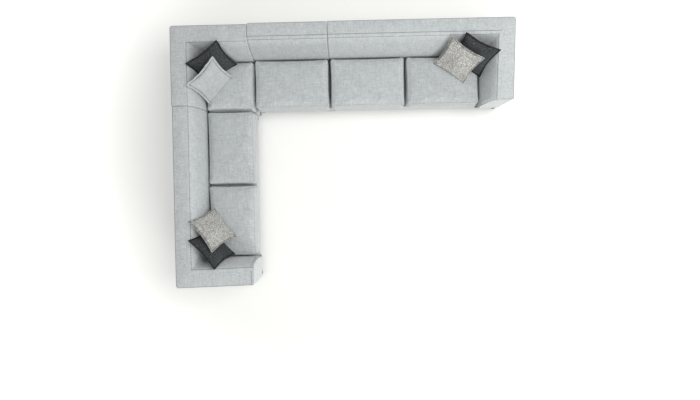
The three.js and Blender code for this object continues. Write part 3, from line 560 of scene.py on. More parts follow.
def back_shell(name, fine=14.0):
    """The upholstered back of a module with its arm or side back, as one skin: rings of section points."""
    module = MODULES[name]
    rear = pad_section(module["back"], name in ("armless", "right_end"))
    side = pad_section(module["side"], False) if module["side"] else None
    rings, weave, shares = [], [], []
    level = rear["v"][45] - rear["d"][45]
    width, reach = module["width"], module["reach"]
    normal = section_normals(rear["d"], rear["z"])

    def ring(section, normals, inset, use_full=0.0):
        d = section["d"] * (1 - use_full) + section["d_full"] * use_full
        z = section["z"] * (1 - use_full) + section["z_full"] * use_full
        d, z = d - normals[:, 0] * inset, z - normals[:, 1] * inset
        d[-1], z[-1] = d[0], z[0]
        return d, z

    def end_rings(radius):
        return [(radius * (1 - math.sin(t)), radius * (1 - math.cos(t)))
                for t in (math.radians(a) for a in (90, 72, 54, 36, 18, 0))]

    def push(a, b, z, share, *threads):
        """threads: cloth coordinates of the rear run, then of the side run, where both are needed."""
        rings.append(np.stack([a, b, z], -1))
        shares.append(share)
        weave.append([np.stack([u, v, np.zeros_like(u)], -1) for u, v in (threads * 2)[:2]])

    def rear_threads(a, more=0.0):
        return -a, rear["v"] - level + more

    if side:
        valley = 95 if module["joint_front"] else 45
        radius = np.maximum(30 - rear["d"], 7 + valley * rear["fall"] ** 0.8)
        pinch_rear = module["pinch"] * rear["fall"]
        pinch_side = module["pinch"] * side["fall"]
        start_a, start_b = side["d"] + radius, rear["d"] + radius
    else:
        start_a, start_b = np.full(len(rear["d"]), GAP / 2), None
    squeeze = lambda distance: np.clip(1 - distance / 150, 0, 1) ** 2
    joint = width - GAP / 2
    for before, inset in end_rings(8):
        d, z = ring(rear, normal, inset)
        a = np.full(len(d), joint - before)
        push(a, d, z, 0, rear_threads(a))
    span = joint - 8 - (start_a.max() if side else GAP / 2 + 8)
    count = max(4, int(span / fine))
    for i in range(1, count + (1 if side else 0)):
        s = i / count
        a = (joint - 8) * (1 - s) + (start_a if side else start_a + 8) * s
        shift = pinch_rear * squeeze(a - start_a) if side else 0
        push(a, rear["d"] - shift, rear["z"], 0, rear_threads(a))
    if not side:
        for before, inset in reversed(end_rings(8)):
            d, z = ring(rear, normal, inset)
            a = np.full(len(d), GAP / 2 + before)
            push(a, d, z, 0, rear_threads(a))
    else:
        side_normal = section_normals(side["d"], side["z"])
        full_normal = section_normals(side["d_full"], side["z_full"])
        side_level = side["v"][45] - side["d"][45]
        for degrees in range(15, 91, 15):
            turn = math.radians(degrees)
            flare = 16 * side["fall"] if module["joint_front"] else 0
            a = start_a - radius * math.sin(turn) - (pinch_side + flare) * math.sin(turn)
            b = start_b - radius * math.cos(turn) - pinch_rear * math.cos(turn)
            share = degrees / 90
            z = rear["z"] * (1 - share) + side["z"] * share
            push(a, b, z, share, rear_threads(start_a - radius * math.sin(turn), radius * (1 - math.cos(turn))),
                 (side_level - side["v"] - radius * (1 - math.sin(turn)), start_b - radius * math.cos(turn)))
        isarm = module["arm"]
        front = reach - (7 if isarm else GAP / 2)
        round_radius = 16 if isarm else 8
        fall_share = (BACK - ARM_FRONT) / (BACK - SEAT) if isarm else 0
        tail = len(side["d"]) - 4

        def side_ring(b, inset, use_full):
            d, z = ring(side, full_normal if use_full else side_normal, inset, use_full)
            if use_full:
                z = np.where(side["z_full"] < 103, side["z_full"], z)
                d[:3] = np.maximum(d[:3], inset)
                d[-3:-1] = np.minimum(d[-3:-1], module["side"]["foot"] - 18 - inset)
                d[-1] = d[0]
            travel = np.clip((b - rear["d"]) / (reach - rear["d"]), 0, 1)
            z = z - np.maximum(0, z - SEAT) * fall_share * travel
            below = np.maximum(0, (ARM_FRONT - z) / (ARM_FRONT - BASE_BOTTOM))
            swell = np.clip((ARM_FRONT - z) / (ARM_FRONT - SEAT), 0, 1)
            swell = swell * swell * (3 - 2 * swell) * np.clip((z - BASE_BOTTOM) / 150, 0, 1)
            inner = np.clip((side["d"] - 60) / (module["side"]["top"] - 60), 0, 1)
            lean = 14 * below * travel - 34 * swell * inner * travel ** 5 if isarm else 0
            shift = pinch_side * squeeze(b - start_b)
            if module["joint_front"]:
                shift = shift + 16 * side["fall"] * (1 - np.exp(-((reach - b) / 110) ** 2))
            push(d - shift, b - lean, z, 1, (side_level - side["v"], b))

        span = front - round_radius - start_b.max()
        count = max(4, int(span / fine))
        wall = front - 38
        switched = False
        for i in range(1, count + 1):
            b = start_b * (1 - i / count) + (front - round_radius) * i / count
            if isarm and not switched and b.min() > wall:
                side_ring(b, 0, 0.0)
                switched = True
            side_ring(b, 0, 1.0 if switched else 0.0)
        for before, inset in reversed(end_rings(round_radius)):
            if before < round_radius - 0.01:
                side_ring(np.full(len(side["d"]), front - before), inset, 1.0 if isarm else 0.0)
    rings = np.array(rings)
    weave = np.array(weave).transpose(1, 0, 2, 3).reshape(2, -1, 3)
    count, across = rings.shape[:2]
    points = rings.reshape(-1, 3)
    faces = grid_faces(count, across, flip=True)
    out = normals_of(points, faces)
    # quads run along the run first, so the sign is settled by the outer face's own direction
    probe = (count // 3) * across + 15
    if out[probe][1] > 0:
        faces = [f[::-1] for f in faces]
        out = -out
    cut = next((i for i, share in enumerate(shares) if share >= 0.5), count) * (across - 1)
    blend = np.array(shares, float)[:, None]
    field = {key: (rear[key] * (1 - blend) + (side or rear)[key] * blend).ravel() for key in ("loose", "lift", "seam")}
    ends = np.ones(count)
    ends[:6] = 0
    ends[6:12] = np.linspace(0.1, 1, 6)
    last = 5 if side else 6
    ends[-last:] = 0
    ends[-last - 6:-last] = np.linspace(1, 0.1, 6)
    ends = np.repeat(ends, across)
    seed = sum(ord(c) for c in name)
    wave = ripple(points, 420, seed) * 0.8 + ripple(points, 150, seed + 1) * 0.35
    points = points + out * (field["lift"] * np.clip(ends + 0.4, 0, 1) + wave * field["loose"] * ends)[:, None]
    points[:, 2] = np.maximum(points[:, 2], BASE_BOTTOM)
    # painted shade: a dark line along the welt at the outer edge of the top, shade down the slope, more on the armless
    # module, and deeper towards the slope's foot at the seat
    row = np.arange(across)
    slope_shade = 0.16 if name == "armless" else 0.1
    dim = np.tile(0.45 * np.exp(-((row - 31) / 3) ** 2) + slope_shade * np.clip((row - 66) / 12, 0, 1)
                  + 0.14 * np.clip((row - 84) / 13, 0, 1) ** 2, count)
    return dict(points=points, faces=faces, weave=weave, count=count, across=across, cut=cut, dim=dim,
                seam=field["seam"], out=out, side=side, rear=rear)


def place_shell(name, points):
    """From (distance from the side's outer face, distance from the rear, height) to the module's frame."""
    module = MODULES[name]
    x = module["width"] - points[:, 0] if module["end"] == "right" else points[:, 0]
    return np.stack([x, -points[:, 1], points[:, 2]], -1)


PANEL_SHARES = (0.0, 0.03, 0.07, 0.14, 0.26, 0.42, 0.62, 0.82, 0.95)


def front_cap(points, across, crown, shares, low, high):
    """A crowned panel that closes the last ring: rings drawn in toward an upright line in its middle."""
    last = points[-across:-1]
    a, z = last[:, 0], last[:, 2]
    heights = np.clip(z, low, high)
    middle = (a.min() + 0.5 * (a.max() - a.min()))
    peak = int(np.argmax(z))
    sides = [last[:peak + 1], last[peak:]]
    depth = sum(np.interp(heights, side[side[:, 2].argsort(), 2], side[side[:, 2].argsort(), 1]) for side in sides) / 2
    made = [last]
    for share in shares:
        inner = last.copy()
        inner[:, 0] = a + (middle * (0.88 + 0.0) - a) * share
        inner[:, 2] = z + (heights - z) * share
        inner[:, 1] = last[:, 1] * (1 - share) + depth * share + crown * (1 - (1 - share) ** 2.2)
        made.append(inner)
    return np.array(made)


def upholstered_back(name):
    module = MODULES[name]
    shell = back_shell(name)
    points, faces, weave = shell["points"], list(shell["faces"]), shell["weave"]
    seam = shell["seam"].copy()
    across, count = shell["across"], shell["count"]
    flip = module["end"] == "right"
    # close the end that faces the next module
    ends = [list(range(0, across - 1))]
    last = (count - 1) * across
    extra_points, extra_faces, extra_weave, extra_seam = [], [], [], []
    if not (module["side"] and module["arm"]):
        ends.append(list(range(last, last + across - 1)))
    for i, loop in enumerate(ends):
        faces.append(tuple(loop if i == 0 else loop[::-1]))
    if module["side"] and module["arm"]:
        rings = front_cap(points, across, 7, PANEL_SHARES, 190, 560)
        rings = rings[1:]
        base = len(points)
        flat = rings.reshape(-1, 3)
        cap_faces = grid_faces(len(rings), across - 1, base, flip=True, close=True)
        cap_weave = np.tile(np.stack([flat[:, 0], flat[:, 2], np.zeros(len(flat))], -1), (2, 1, 1))
        shares = np.repeat(np.array(PANEL_SHARES), across - 1)
        points = np.vstack([points, flat])
        weave = np.concatenate([weave, cap_weave], 1)
        seam = np.concatenate([seam, shares * 150 + 12])
        # the line where the front panel is sewn on, along which the painted seam shade runs
        sewn = points[base - across * 3:base - across * 2]
        for k in range(7):
            rows = slice(base - across * (k + 1), base - across * k)
            seam[rows] = np.minimum(seam[rows], np.linalg.norm(points[rows] - sewn, axis=1))
        probe_face = cap_faces[len(cap_faces) // 2]
        corner = points[list(probe_face)]
        facing = np.cross(corner[2] - corner[0], corner[3] - corner[1])
        if facing[1] < 0:
            cap_faces = [f[::-1] for f in cap_faces]
        faces += cap_faces
        faces.append(tuple(range(len(points) - across + 1, len(points))))
    placed = to_row(name, place_shell(name, points))
    mirrored = flip
    # the module frame's y runs opposite to the distance from the rear, which mirrors once
    if not mirrored:
        faces = [f[::-1] for f in faces]
    # painted light: the front panels are drawn a little lighter than the rest, as if lit from the front
    dim = np.full(len(points), -0.1)
    dim[:len(shell["dim"])] = shell["dim"]
    made = make_object(name + "_back_upholstery", placed, faces, weave * 0.001, seam * 0.001, sofa_cloth, dim,
                       shell["cut"])
    welded(made)
    nodes = [name + "_back_pad"]
    if module["side"]:
        nodes.append(name + ("_arm_pad" if module["arm"] else "_side_back_pad"))
    return finish_piece(made, "sofa_frame", "sofa_fabric", *nodes, fill=0.9)


backs = {name: upholstered_back(name) for name in MODULES}

# ---------------------------------------------------------------- seat cushions
CORNER_R, TOP_R, BOTTOM_R = 34.0, 16.0, 12.0


def ring_map(x, y, hx, hy, radius):
    """A point of a rectangle moved so that each ring at an even inset has rounded corners."""
    ax, ay = np.abs(x), np.abs(y)
    inset = np.minimum(hx - ax, hy - ay)
    rho = np.maximum(radius - inset, 0)
    rx, ry = hx - inset, hy - inset
    on_x = (hx - ax) <= (hy - ay)
    s = np.where(on_x, ry - ay, rx - ax)
    turn = np.where(s < rho, (1 - s / np.maximum(rho, 1e-9)) * math.pi / 4, 0)
    cos, sin = np.cos(turn), np.sin(turn)
    arc_x = rx - rho + rho * np.where(on_x, cos, sin)
    arc_y = ry - rho + rho * np.where(on_x, sin, cos)
    near = s < rho
    return np.sign(x) * np.where(near, arc_x, ax), np.sign(y) * np.where(near, arc_y, ay)


def spread(half, first, edge_steps, step):
    """Coordinates from -half to half, closer together near both ends."""
    near = np.array([e for e in edge_steps if e < half - 2 * step])
    inner = half - near[-1]
    count = max(2, int(round(2 * inner / step)))
    middle = np.linspace(-inner, inner, count + 1)
    left = -half + near
    return np.concatenate([left, middle[1:-1], -left[::-1]])


def seat_mesh(width, depth, step, fine_edge=True):
    hx, hy = width / 2, depth / 2
    low, high = PAD_BOTTOM, SEAT
    panels = []
    edge_in = TOP_R * (1 - math.cos(math.pi / 4))
    edge_steps = [0, 1.8, 3.8, 6.2, 9, 12.5, 17, 23, 31, 42] if fine_edge else [0, 8, 22]
    rows = {}

    def draw(x, y):
        """Sides pull in a little between the corners."""
        pull_x = 5 * np.clip(1 - (y / (hy - CORNER_R)) ** 2, 0, 1) * np.sign(x) * (np.abs(x) / hx) ** 3
        pull_y = 5 * np.clip(1 - (x / (hx - CORNER_R)) ** 2, 0, 1) * np.sign(y) * (np.abs(y) / hy) ** 3
        return x - pull_x, y - pull_y

    def panel(upper):
        radius = TOP_R if upper else BOTTOM_R
        edge = radius * (1 - math.cos(math.pi / 4))
        xs, ys = (spread(half - edge_in, 0, edge_steps, step) * (half - edge) / (half - edge_in) for half in (hx, hy))
        gx, gy = np.meshgrid(xs, ys, indexing="ij")
        px, py = ring_map(gx.ravel(), gy.ravel(), hx, hy, CORNER_R)
        inset = np.minimum(hx - np.abs(gx.ravel()), hy - np.abs(gy.ravel()))
        round_in = np.clip(radius - inset, 0, radius)
        z = np.sqrt(np.maximum(radius ** 2 - round_in ** 2, 0)) - radius
        rise = 19 * (1 - np.abs(gx.ravel() / xs[-1]) ** 3.0) * (1 - np.abs(gy.ravel() / ys[-1]) ** 3.0)
        z = high + z + rise if upper else low - z
        dx, dy = draw(px, py)
        points = np.stack([dx, dy, z], -1)
        border = np.minimum((hx - edge) - np.abs(gx.ravel()), (hy - edge) - np.abs(gy.ravel()))
        faces = grid_faces(len(xs), len(ys), flip=not upper)
        weave = np.stack([px, py, np.zeros(len(px))], -1)
        return points, faces, weave, border * 1.08, (len(xs), len(ys)), xs, ys

    top = panel(True)
    bottom = panel(False)
    xs, ys = top[5], top[6]
    ex, ey = xs[-1], ys[-1]
    loop = ([(x, -ey) for x in xs[:-1]] + [(ex, y) for y in ys[:-1]]
            + [(x, ey) for x in xs[:0:-1]] + [(-ex, y) for y in ys[:0:-1]])
    loop.append(loop[0])
    loop = np.array(loop)
    profile = []
    for degrees in (45, 36, 27, 18, 9, 0):
        turn = math.radians(degrees)
        profile.append((TOP_R * (1 - math.cos(turn)), high - TOP_R + TOP_R * math.sin(turn)))
    steps = max(4, int((high - low - TOP_R - BOTTOM_R) / (12 if fine_edge else 24)))
    for k in range(1, steps):
        profile.append((0, high - TOP_R - (high - low - TOP_R - BOTTOM_R) * k / steps))
    for degrees in (0, 11, 22, 34, 45):
        turn = math.radians(degrees)
        profile.append((BOTTOM_R * (1 - math.cos(turn)), low + BOTTOM_R - BOTTOM_R * math.sin(turn)))
    length = np.concatenate([[0], np.cumsum(np.linalg.norm(np.diff(np.array(profile), axis=0), axis=1))])
    around = np.concatenate([[0], np.cumsum(np.linalg.norm(np.diff(loop, axis=0), axis=1))])
    side_points, side_weave, side_seam = [], [], []
    for (inset, z), v in zip(profile, length):
        rx, ry = hx - inset, hy - inset
        px, py = ring_map(loop[:, 0] * rx / ex, loop[:, 1] * ry / ey, hx, hy, CORNER_R)
        dx, dy = draw(px, py)
        side_points.append(np.stack([dx, dy, np.full(len(px), z)], -1))
        side_weave.append(np.stack([around, np.full(len(px), v), np.zeros(len(px))], -1))
        side_seam.append(np.full(len(px), v if v < length[-1] / 2 else length[-1] - v))
    side = (np.vstack(side_points), grid_faces(len(profile), len(loop), flip=True), np.vstack(side_weave),
            np.concatenate(side_seam))
    points, faces, weave, seam = [], [], [], []
    for part in (top, bottom, side):
        start = sum(len(p) for p in points)
        points.append(part[0])
        faces += [tuple(i + start for i in f) for f in part[1]]
        weave.append(part[2] + len(points) * 211)
        seam.append(part[3])
    return np.vstack(points), faces, np.vstack(weave), np.concatenate(seam)


def cloth_swell(name, points, faces, pressure, frames, pins=None, mass=0.3, stiff=15.0, bend=0.5):
    """Runs a short cloth simulation of a closed skin under inner pressure, and returns where its points went."""
    made = make_object(name, points, faces)
    work = bmesh.new()
    work.from_mesh(made.data)
    bmesh.ops.remove_doubles(work, verts=work.verts, dist=1e-5)
    bmesh.ops.recalc_face_normals(work, faces=work.faces)
    work.to_mesh(made.data)
    work.free()
    start = np.zeros(len(made.data.vertices) * 3)
    made.data.vertices.foreach_get("co", start)
    start = start.reshape(-1, 3)
    modifier = made.modifiers.new("swell", "CLOTH")
    cloth = modifier.settings
    cloth.quality = 5
    cloth.mass = mass
    cloth.tension_stiffness = cloth.compression_stiffness = stiff
    cloth.shear_stiffness = stiff * 0.3
    cloth.bending_stiffness = bend
    cloth.air_damping = 4
    cloth.use_pressure = True
    cloth.uniform_pressure_force = pressure
    cloth.effector_weights.gravity = 0
    modifier.collision_settings.use_collision = False
    modifier.point_cache.frame_start = 1
    modifier.point_cache.frame_end = frames
    for number in range(1, frames + 1):
        scene.frame_set(number)
    depsgraph = bpy.context.evaluated_depsgraph_get()
    moved = made.evaluated_get(depsgraph).to_mesh()
    after = np.zeros(len(moved.vertices) * 3)
    moved.vertices.foreach_get("co", after)
    after = after.reshape(-1, 3)
    made.evaluated_get(depsgraph).to_mesh_clear()
    bpy.data.objects.remove(made, do_unlink=True)
    scene.frame_set(1)
    return start, after


def carry(points, start, moves, near=16, spread=17.0):
    """Moves carried from a coarse skin to the points of a finer one, in millimetres."""
    tree = KDTree(len(start))
    for i, p in enumerate(start):
        tree.insert(p, i)
    tree.balance()
    carried = np.zeros_like(points)
    for i, p in enumerate(points):
        found = tree.find_n(p, near)
        weights = np.array([math.exp(-(f[2] / spread) ** 2) for f in found]) + 1e-9
        carried[i] = (moves[[f[1] for f in found]] * weights[:, None]).sum(0) / weights.sum()
    return carried


def seat_cushion(module_name, index, left, seed):
    module = MODULES[module_name]
    width = module["seats"][index]
    depth = module["front"] - module["back"]["foot"]
    node_name = module_name + "_seat_cushion" + ("_%d" % (index + 1) if len(module["seats"]) > 1 else "")
    w, d = width - CUSHION_GAP, depth - CUSHION_GAP / 2
    points, faces, weave, seam = seat_mesh(w, d, 14.0)
    rough_points, rough_faces, _, _ = seat_mesh(w, d, 24.0, False)
    start, after = cloth_swell(node_name + "_cage", rough_points * 0.001, rough_faces, 4.0, 20)
    moves = (after - start) * 1000
    size = np.linalg.norm(moves, axis=1)
    moves *= np.minimum(1, 12 / np.maximum(size, 1e-6))[:, None]
    points = points + carry(points, start * 1000, moves)
    out = normals_of(points, faces)
    inner = np.clip(np.abs(seam) / 40, 0, 1)
    upper = points[:, 2] > SEAT - 20
    wave = ripple(points, 260, seed) * 1.3 + ripple(points, 90, seed + 1) * 0.5
    crease = np.maximum(0, ripple(points, 70, seed + 2, (1, 3, 1)) - 0.9) * -1.0
    points = points + out * ((wave * (0.3 + 0.7 * inner) + crease * inner) * np.where(upper, 1, 0.5))[:, None]
    points = points - out * (1.9 * np.exp(-(seam / 2.2) ** 2))[:, None]
    # the painted seam shade is fullest along the front edge; elsewhere the seam distance is pushed out by up to 5 mm
    seam = seam + 5 * np.clip((points[:, 1] + d / 2) / 60, 0, 1)
    hx, hy = w / 2 + 1.4, d / 2 + 1.0
    # painted shade: a little all over, more on the right end's outer seat, and darker towards the rear edge and both
    # sides, where the cushion meets the back and its neighbours
    even_shade = 0.12 if node_name == "right_end_seat_cushion_2" else 0.05
    dim = (even_shade + 0.16 * np.exp(-np.maximum(d / 2 - points[:, 1], 0) / 30)
           + 0.1 * np.exp(-np.maximum(w / 2 - np.abs(points[:, 0]), 0) / 16))
    points[:, 0] = np.clip(points[:, 0], -hx, hx)
    points[:, 1] = np.clip(points[:, 1], -hy, hy)
    points[:, 2] = np.maximum(points[:, 2], PAD_BOTTOM)
    points[:, 0] += left + width / 2
    points[:, 1] -= module["back"]["foot"] + depth / 2 + CUSHION_GAP / 4
    made = make_object(node_name + "_upholstery", to_row(module_name, points), faces, weave * 0.001,
                       seam * 0.001, sofa_cloth, dim)
    welded(made, 1e-5)
    return finish_piece(made, node_name, "sofa_fabric", node_name, fill=0.8)


seats = {}
for number, module_name in enumerate(MODULES):
    module = MODULES[module_name]
    left = module["side"]["foot"] if module["end"] == "left" else 0
    for index, width in enumerate(module["seats"]):
        made = seat_cushion(module_name, index, left, 40 + 10 * number + index)
        seats[made["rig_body"]] = made
        left += width

# ---------------------------------------------------------------- scatter pillows
PILLOWS = {
    "pillow_corner_dark": ((425, -392, 625), -56, 28, -2, 15),
    "pillow_corner_light": ((407, -585, 614), -43, 27, 1, 25),
    "pillow_right_dark": ((3350, -363, 623), -111, 34, 8, 15),
    "pillow_right_woven": ((3180, -418, 615), -123, 35, 3, 12),
    "pillow_wing_dark": ((383, -2453, 616), 39, 26, -2, 15),
    "pillow_wing_woven": ((395, -2248, 619), 37, 33, 0, 12),
}
PILLOW_SIDE, PILLOW_THICK = 430.0, 122.0


def pillow_body(name, half, count=44):
    """Two square panels sewn edge to edge and filled, face toward -y: (u, v), both grids and their faces."""
    line = np.linspace(-1, 1, count + 1)
    u, v = np.meshgrid(line, line, indexing="ij")
    u, v = u.ravel(), v.ravel()
    seed = sum(ord(c) for c in name)
    flat, faces = [], []
    swell = np.maximum((1 - u * u) * (1 - v * v), 0) ** 0.6
    for side in (-1, 1):
        grid = np.stack([half * u, side * swell * 12, half * v], -1)
        grid[:, 1] += side * (swell > 0) * ripple(grid, 45, seed + side) * 1.2
        faces += grid_faces(count + 1, count + 1, len(flat) * len(u), flip=side > 0)
        flat.append(grid)
    flat = np.vstack(flat)
    both = np.tile(swell, 2) * np.repeat([-1, 1], len(u))
    shape = np.stack([flat[:, 0] * (1 - 0.135 * (1 - np.tile(v, 2) ** 2) ** 1.3), both * 56,
                      flat[:, 2] * (1 - 0.135 * (1 - np.tile(u, 2) ** 2) ** 1.3)], -1)
    start, after = cloth_swell(name + "_cage", flat * 0.001, faces, 4.0, 16)
    full = flat + 0.5 * carry(flat, start * 1000, (after - start) * 1000, 1)
    full = full.reshape(2, count + 1, count + 1, 3)
    for _ in range(7):
        full[:, 1:-1, 1:-1] = (2 * full[:, 1:-1, 1:-1] + full[:, 2:, 1:-1] + full[:, :-2, 1:-1]
                               + full[:, 1:-1, 2:] + full[:, 1:-1, :-2]) / 6
    shape = shape * (0.75, 0.45, 0.75) + full.reshape(-1, 3) * (0.25, 0.55, 0.25)
    reach = np.abs(shape[:, [0, 2]]).max()
    shape[:, [0, 2]] *= half / reach
    shape[:, 1] *= PILLOW_THICK / (shape[:, 1].max() - shape[:, 1].min())
    return u, v, shape, faces


def pillow(name):
    (px, py, pz), looks, leans, rolls, flange = PILLOWS[name]
    half = PILLOW_SIDE / 2 - flange
    u, v, shape, faces = pillow_body(name, half)
    seed = sum(ord(c) for c in name)
    side = np.repeat([-1, 1], len(u))
    edge = np.tile(np.minimum(1 - np.abs(u), 1 - np.abs(v)), 2)
    folds = ripple(shape, 55, seed, (1, 1, 1)) * 1.6 * np.clip(edge * 6, 0, 1) * np.exp(-edge * 4)
    broad = ripple(shape, 190, seed + 5) * 2.2 * np.clip(edge * 3, 0, 1)
    shape[:, 1] += side * (folds + broad)
    points, faces = [shape], list(faces)
    weave = [np.stack([half * np.tile(u, 2), half * np.tile(v, 2), np.zeros(len(shape))], -1)]
    # seam distances for the painted seam shade round each panel's edge and along the flange
    seam = [edge * half]
    base = np.flatnonzero(np.maximum(np.abs(u), np.abs(v)) > 0.9999)
    order = base[np.argsort(np.arctan2(v[base], u[base]))]
    rim = shape[order].copy()
    rim[:, 1] = 0
    out = np.stack([u[order], v[order]], -1)
    grow = np.sign(out) * np.abs(out) ** 16
    wavy = ripple(rim, 120, seed + 9) * (2.2 if flange > 15 else 1.0)
    flap = []
    for reach, thick in ((-3.0, 2.6), (flange * 0.5, 2.0), (flange - 1.4, 1.8), (flange, 0.0),
                         (flange - 1.4, -1.8), (flange * 0.5, -2.0), (-3.0, -2.6), (-3.0, 2.6)):
        ring = rim.copy()
        ring[:, 0] += grow[:, 0] * reach
        ring[:, 2] += grow[:, 1] * reach
        ring[:, 1] = -thick + wavy * max(0, reach) / flange
        flap.append(ring)
    start = len(shape)
    flap = np.array(flap)
    closed = np.concatenate([flap, flap[:, :1]], 1)
    points.append(closed.reshape(-1, 3))
    weave.append(np.stack([closed[..., 0].ravel(), closed[..., 2].ravel(), np.zeros(closed[..., 0].size)], -1))
    seam.append(np.repeat([0.0, flange * 0.5, flange - 1, flange + 2, flange - 1, flange * 0.5, 0.0, 0.0],
                          closed.shape[1]))
    faces += grid_faces(len(flap), closed.shape[1], start)
    points, weave, seam = np.vstack(points), np.vstack(weave), np.concatenate(seam)
    place = np.array(Matrix.Translation((px * 0.001 - 1.89592, py * 0.001 + 1.4359, pz * 0.001))
                     @ Matrix.Rotation(math.radians(looks + 90), 4, "Z")
                     @ Matrix.Rotation(math.radians(-leans), 4, "X") @ Matrix.Rotation(math.radians(rolls), 4, "Y"))
    world = (points * 0.001) @ place[:3, :3].T + place[:3, 3]
    dim = np.zeros(len(points))
    dim[start:] = {"dark": 0.45, "woven": 0.1, "light": 0.0}[name.split("_")[-1]]
    # how far each point stays off what it leans on: its face further than its back
    off = 0.0012 + 0.0035 * np.clip(0.5 - points[:, 1] / 30, 0, 1)
    return world, faces, weave * 0.001, seam * 0.001, dim, off, Vector(-place[:3, 1])


def tree_of(made):
    return BVHTree.FromObject(made, bpy.context.evaluated_depsgraph_get())


def keep_clear(world, tree, way, off, reach=0.24):
    """Points that lie behind a neighbour's skin, seen from the open side, come forward onto it."""
    world = world.copy()
    for i, p in enumerate(world):
        start = Vector(p) + way * reach
        hit = tree.ray_cast(start, -way, reach)[0]
        if hit is not None:
            world[i] = hit + way * float(off[i])
    return world


bpy.context.view_layer.update()
SUPPORTS = {
    "pillow_corner_dark": ("corner", "corner_seat_cushion", None),
    "pillow_corner_light": ("corner", "corner_seat_cushion", "pillow_corner_dark"),
    "pillow_right_dark": ("right_end", "right_end_seat_cushion_2", None),
    "pillow_right_woven": ("right_end", "right_end_seat_cushion_2", "pillow_right_dark"),
    "pillow_wing_dark": ("wing", "wing_seat_cushion_1", None),
    "pillow_wing_woven": ("wing", "wing_seat_cushion_1", "pillow_wing_dark"),
}
pillows = {}
for pillow_name, (back_name, seat_name, under) in SUPPORTS.items():
    world, faces, weave, seam, dim, off, facing = pillow(pillow_name)
    world = keep_clear(world, tree_of(backs[back_name]), facing, off)
    if under:
        world = keep_clear(world, tree_of(pillows[under]), facing, off)
    world = keep_clear(world, tree_of(seats[seat_name]), Vector((0, 0, 1)), off)
    kind = pillow_name.split("_")[-1]
    material = {"dark": charcoal_cloth, "light": pale_cloth, "woven": woven_cloth}[kind]
    slot = {"dark": "charcoal_fabric", "light": "light_pillow_fabric", "woven": "woven_fabric"}[kind]
    made = welded(make_object(pillow_name + "_cover", world, faces, weave, seam, material, dim))
    finish_piece(made, pillow_name, slot, pillow_name, fill=0.6)
    pillows[pillow_name] = made
    bpy.context.view_layer.update()

# ---------------------------------------------------------------- base, legs and what is inside


def soft_box(low, high, radius, step):
    """A box with rounded edges, as grids whose borders meet, ready to be welded: points, faces and weave coordinates.
    """
    low, high = np.array(low, float), np.array(high, float)
    radius = min(radius, (high - low).min() / 2 - 0.01)
    points, faces, weave = [], [], []
    for axis in range(3):
        one, two = (axis + 1) % 3, (axis + 2) % 3
        lines = []
        for k in (one, two):
            half = (high[k] - low[k]) / 2
            steps = [0, radius * 0.3, radius * 0.65, radius]
            inner = half - radius
            count = max(1, int(2 * inner / step))
            middle = np.linspace(-inner, inner, count + 1)
            left = np.array([-half + s for s in steps[:-1]])
            lines.append((low[k] + high[k]) / 2 + np.concatenate([left, middle, -left[::-1]]))
        gu, gv = np.meshgrid(*lines, indexing="ij")
        for sign, level in ((-1, low[axis]), (1, high[axis])):
            grid = np.zeros((gu.size, 3))
            grid[:, one], grid[:, two], grid[:, axis] = gu.ravel(), gv.ravel(), level
            inner = np.clip(grid, low + radius, high - radius)
            away = grid - inner
            length = np.linalg.norm(away, axis=1)
            grid = inner + away / np.maximum(length, 1e-9)[:, None] * radius
            start = sum(len(p) for p in points)
            faces += grid_faces(gu.shape[0], gu.shape[1], start, flip=sign < 0)
            points.append(grid)
            weave.append(np.stack([gu.ravel(), gv.ravel(), np.zeros(gu.size)], -1))
    return np.vstack(points), faces, np.vstack(weave)


def joined(parts):
    points, faces, weave = [], [], []
    for p, f, w in parts:
        start = sum(len(q) for q in points)
        points.append(p)
        faces += [tuple(i + start for i in face) for face in f]
        weave.append(w)
    return np.vstack(points), faces, np.vstack(weave)


def base_plan(name, inset):
    module = MODULES[name]
    nearer = inset - 20.0
    left = inset if module["end"] == "left" else nearer
    right = inset if module["end"] == "right" else nearer
    front = nearer if module["joint_front"] else inset
    return [left, -(module["front"] - front)], [module["width"] - right, -inset]


def base_cover(name):
    module = MODULES[name]
    low, high = base_plan(name, 22)
    side = module["side"]
    front_y = low[1]
    x0, x1 = low[0], high[0]
    behind = 84.0
    deck_x0 = 84.0 if module["end"] == "left" else x0
    deck_x1 = module["width"] - 84.0 if module["end"] == "right" else x1
    parts = [soft_box((deck_x0, front_y, DECK - 18), (deck_x1, -behind, DECK), 5, 30)]
    border_x0 = side["foot"] - 32 if module["end"] == "left" and module["arm"] else (
        30.3 if module["end"] == "left" else x0)
    border_x1 = module["width"] - (side["foot"] - 32) if module["end"] == "right" and module["arm"] else x1
    parts.append(soft_box((border_x0, front_y, BASE_BOTTOM), (border_x1, front_y + 8, DECK - 4), 3.6, 24))
    if module["end"] != "left":
        parts.append(soft_box((x0, front_y + 8.1, BASE_BOTTOM), (x0 + 8, -30.3, DECK - 4), 3.6, 24))
    if module["end"] != "right":
        parts.append(soft_box((x1 - 8, front_y + 8.1, BASE_BOTTOM), (x1, -30.3, DECK - 4), 3.6, 24))
    points, faces, weave = joined(parts)
    points = points + 0.0
    # a seam 14 mm above the bottom of the border, darkened by the painted seam shade
    made = make_object(name + "_base_cover", to_row(name, points), faces, weave * 0.001,
                       (np.abs(points[:, 2] - (BASE_BOTTOM + 14)) + 0.0) * 0.001, sofa_cloth)
    welded(made)
    return finish_piece(made, "sofa_frame", "sofa_fabric", name + "_base_border", fill=0.9)


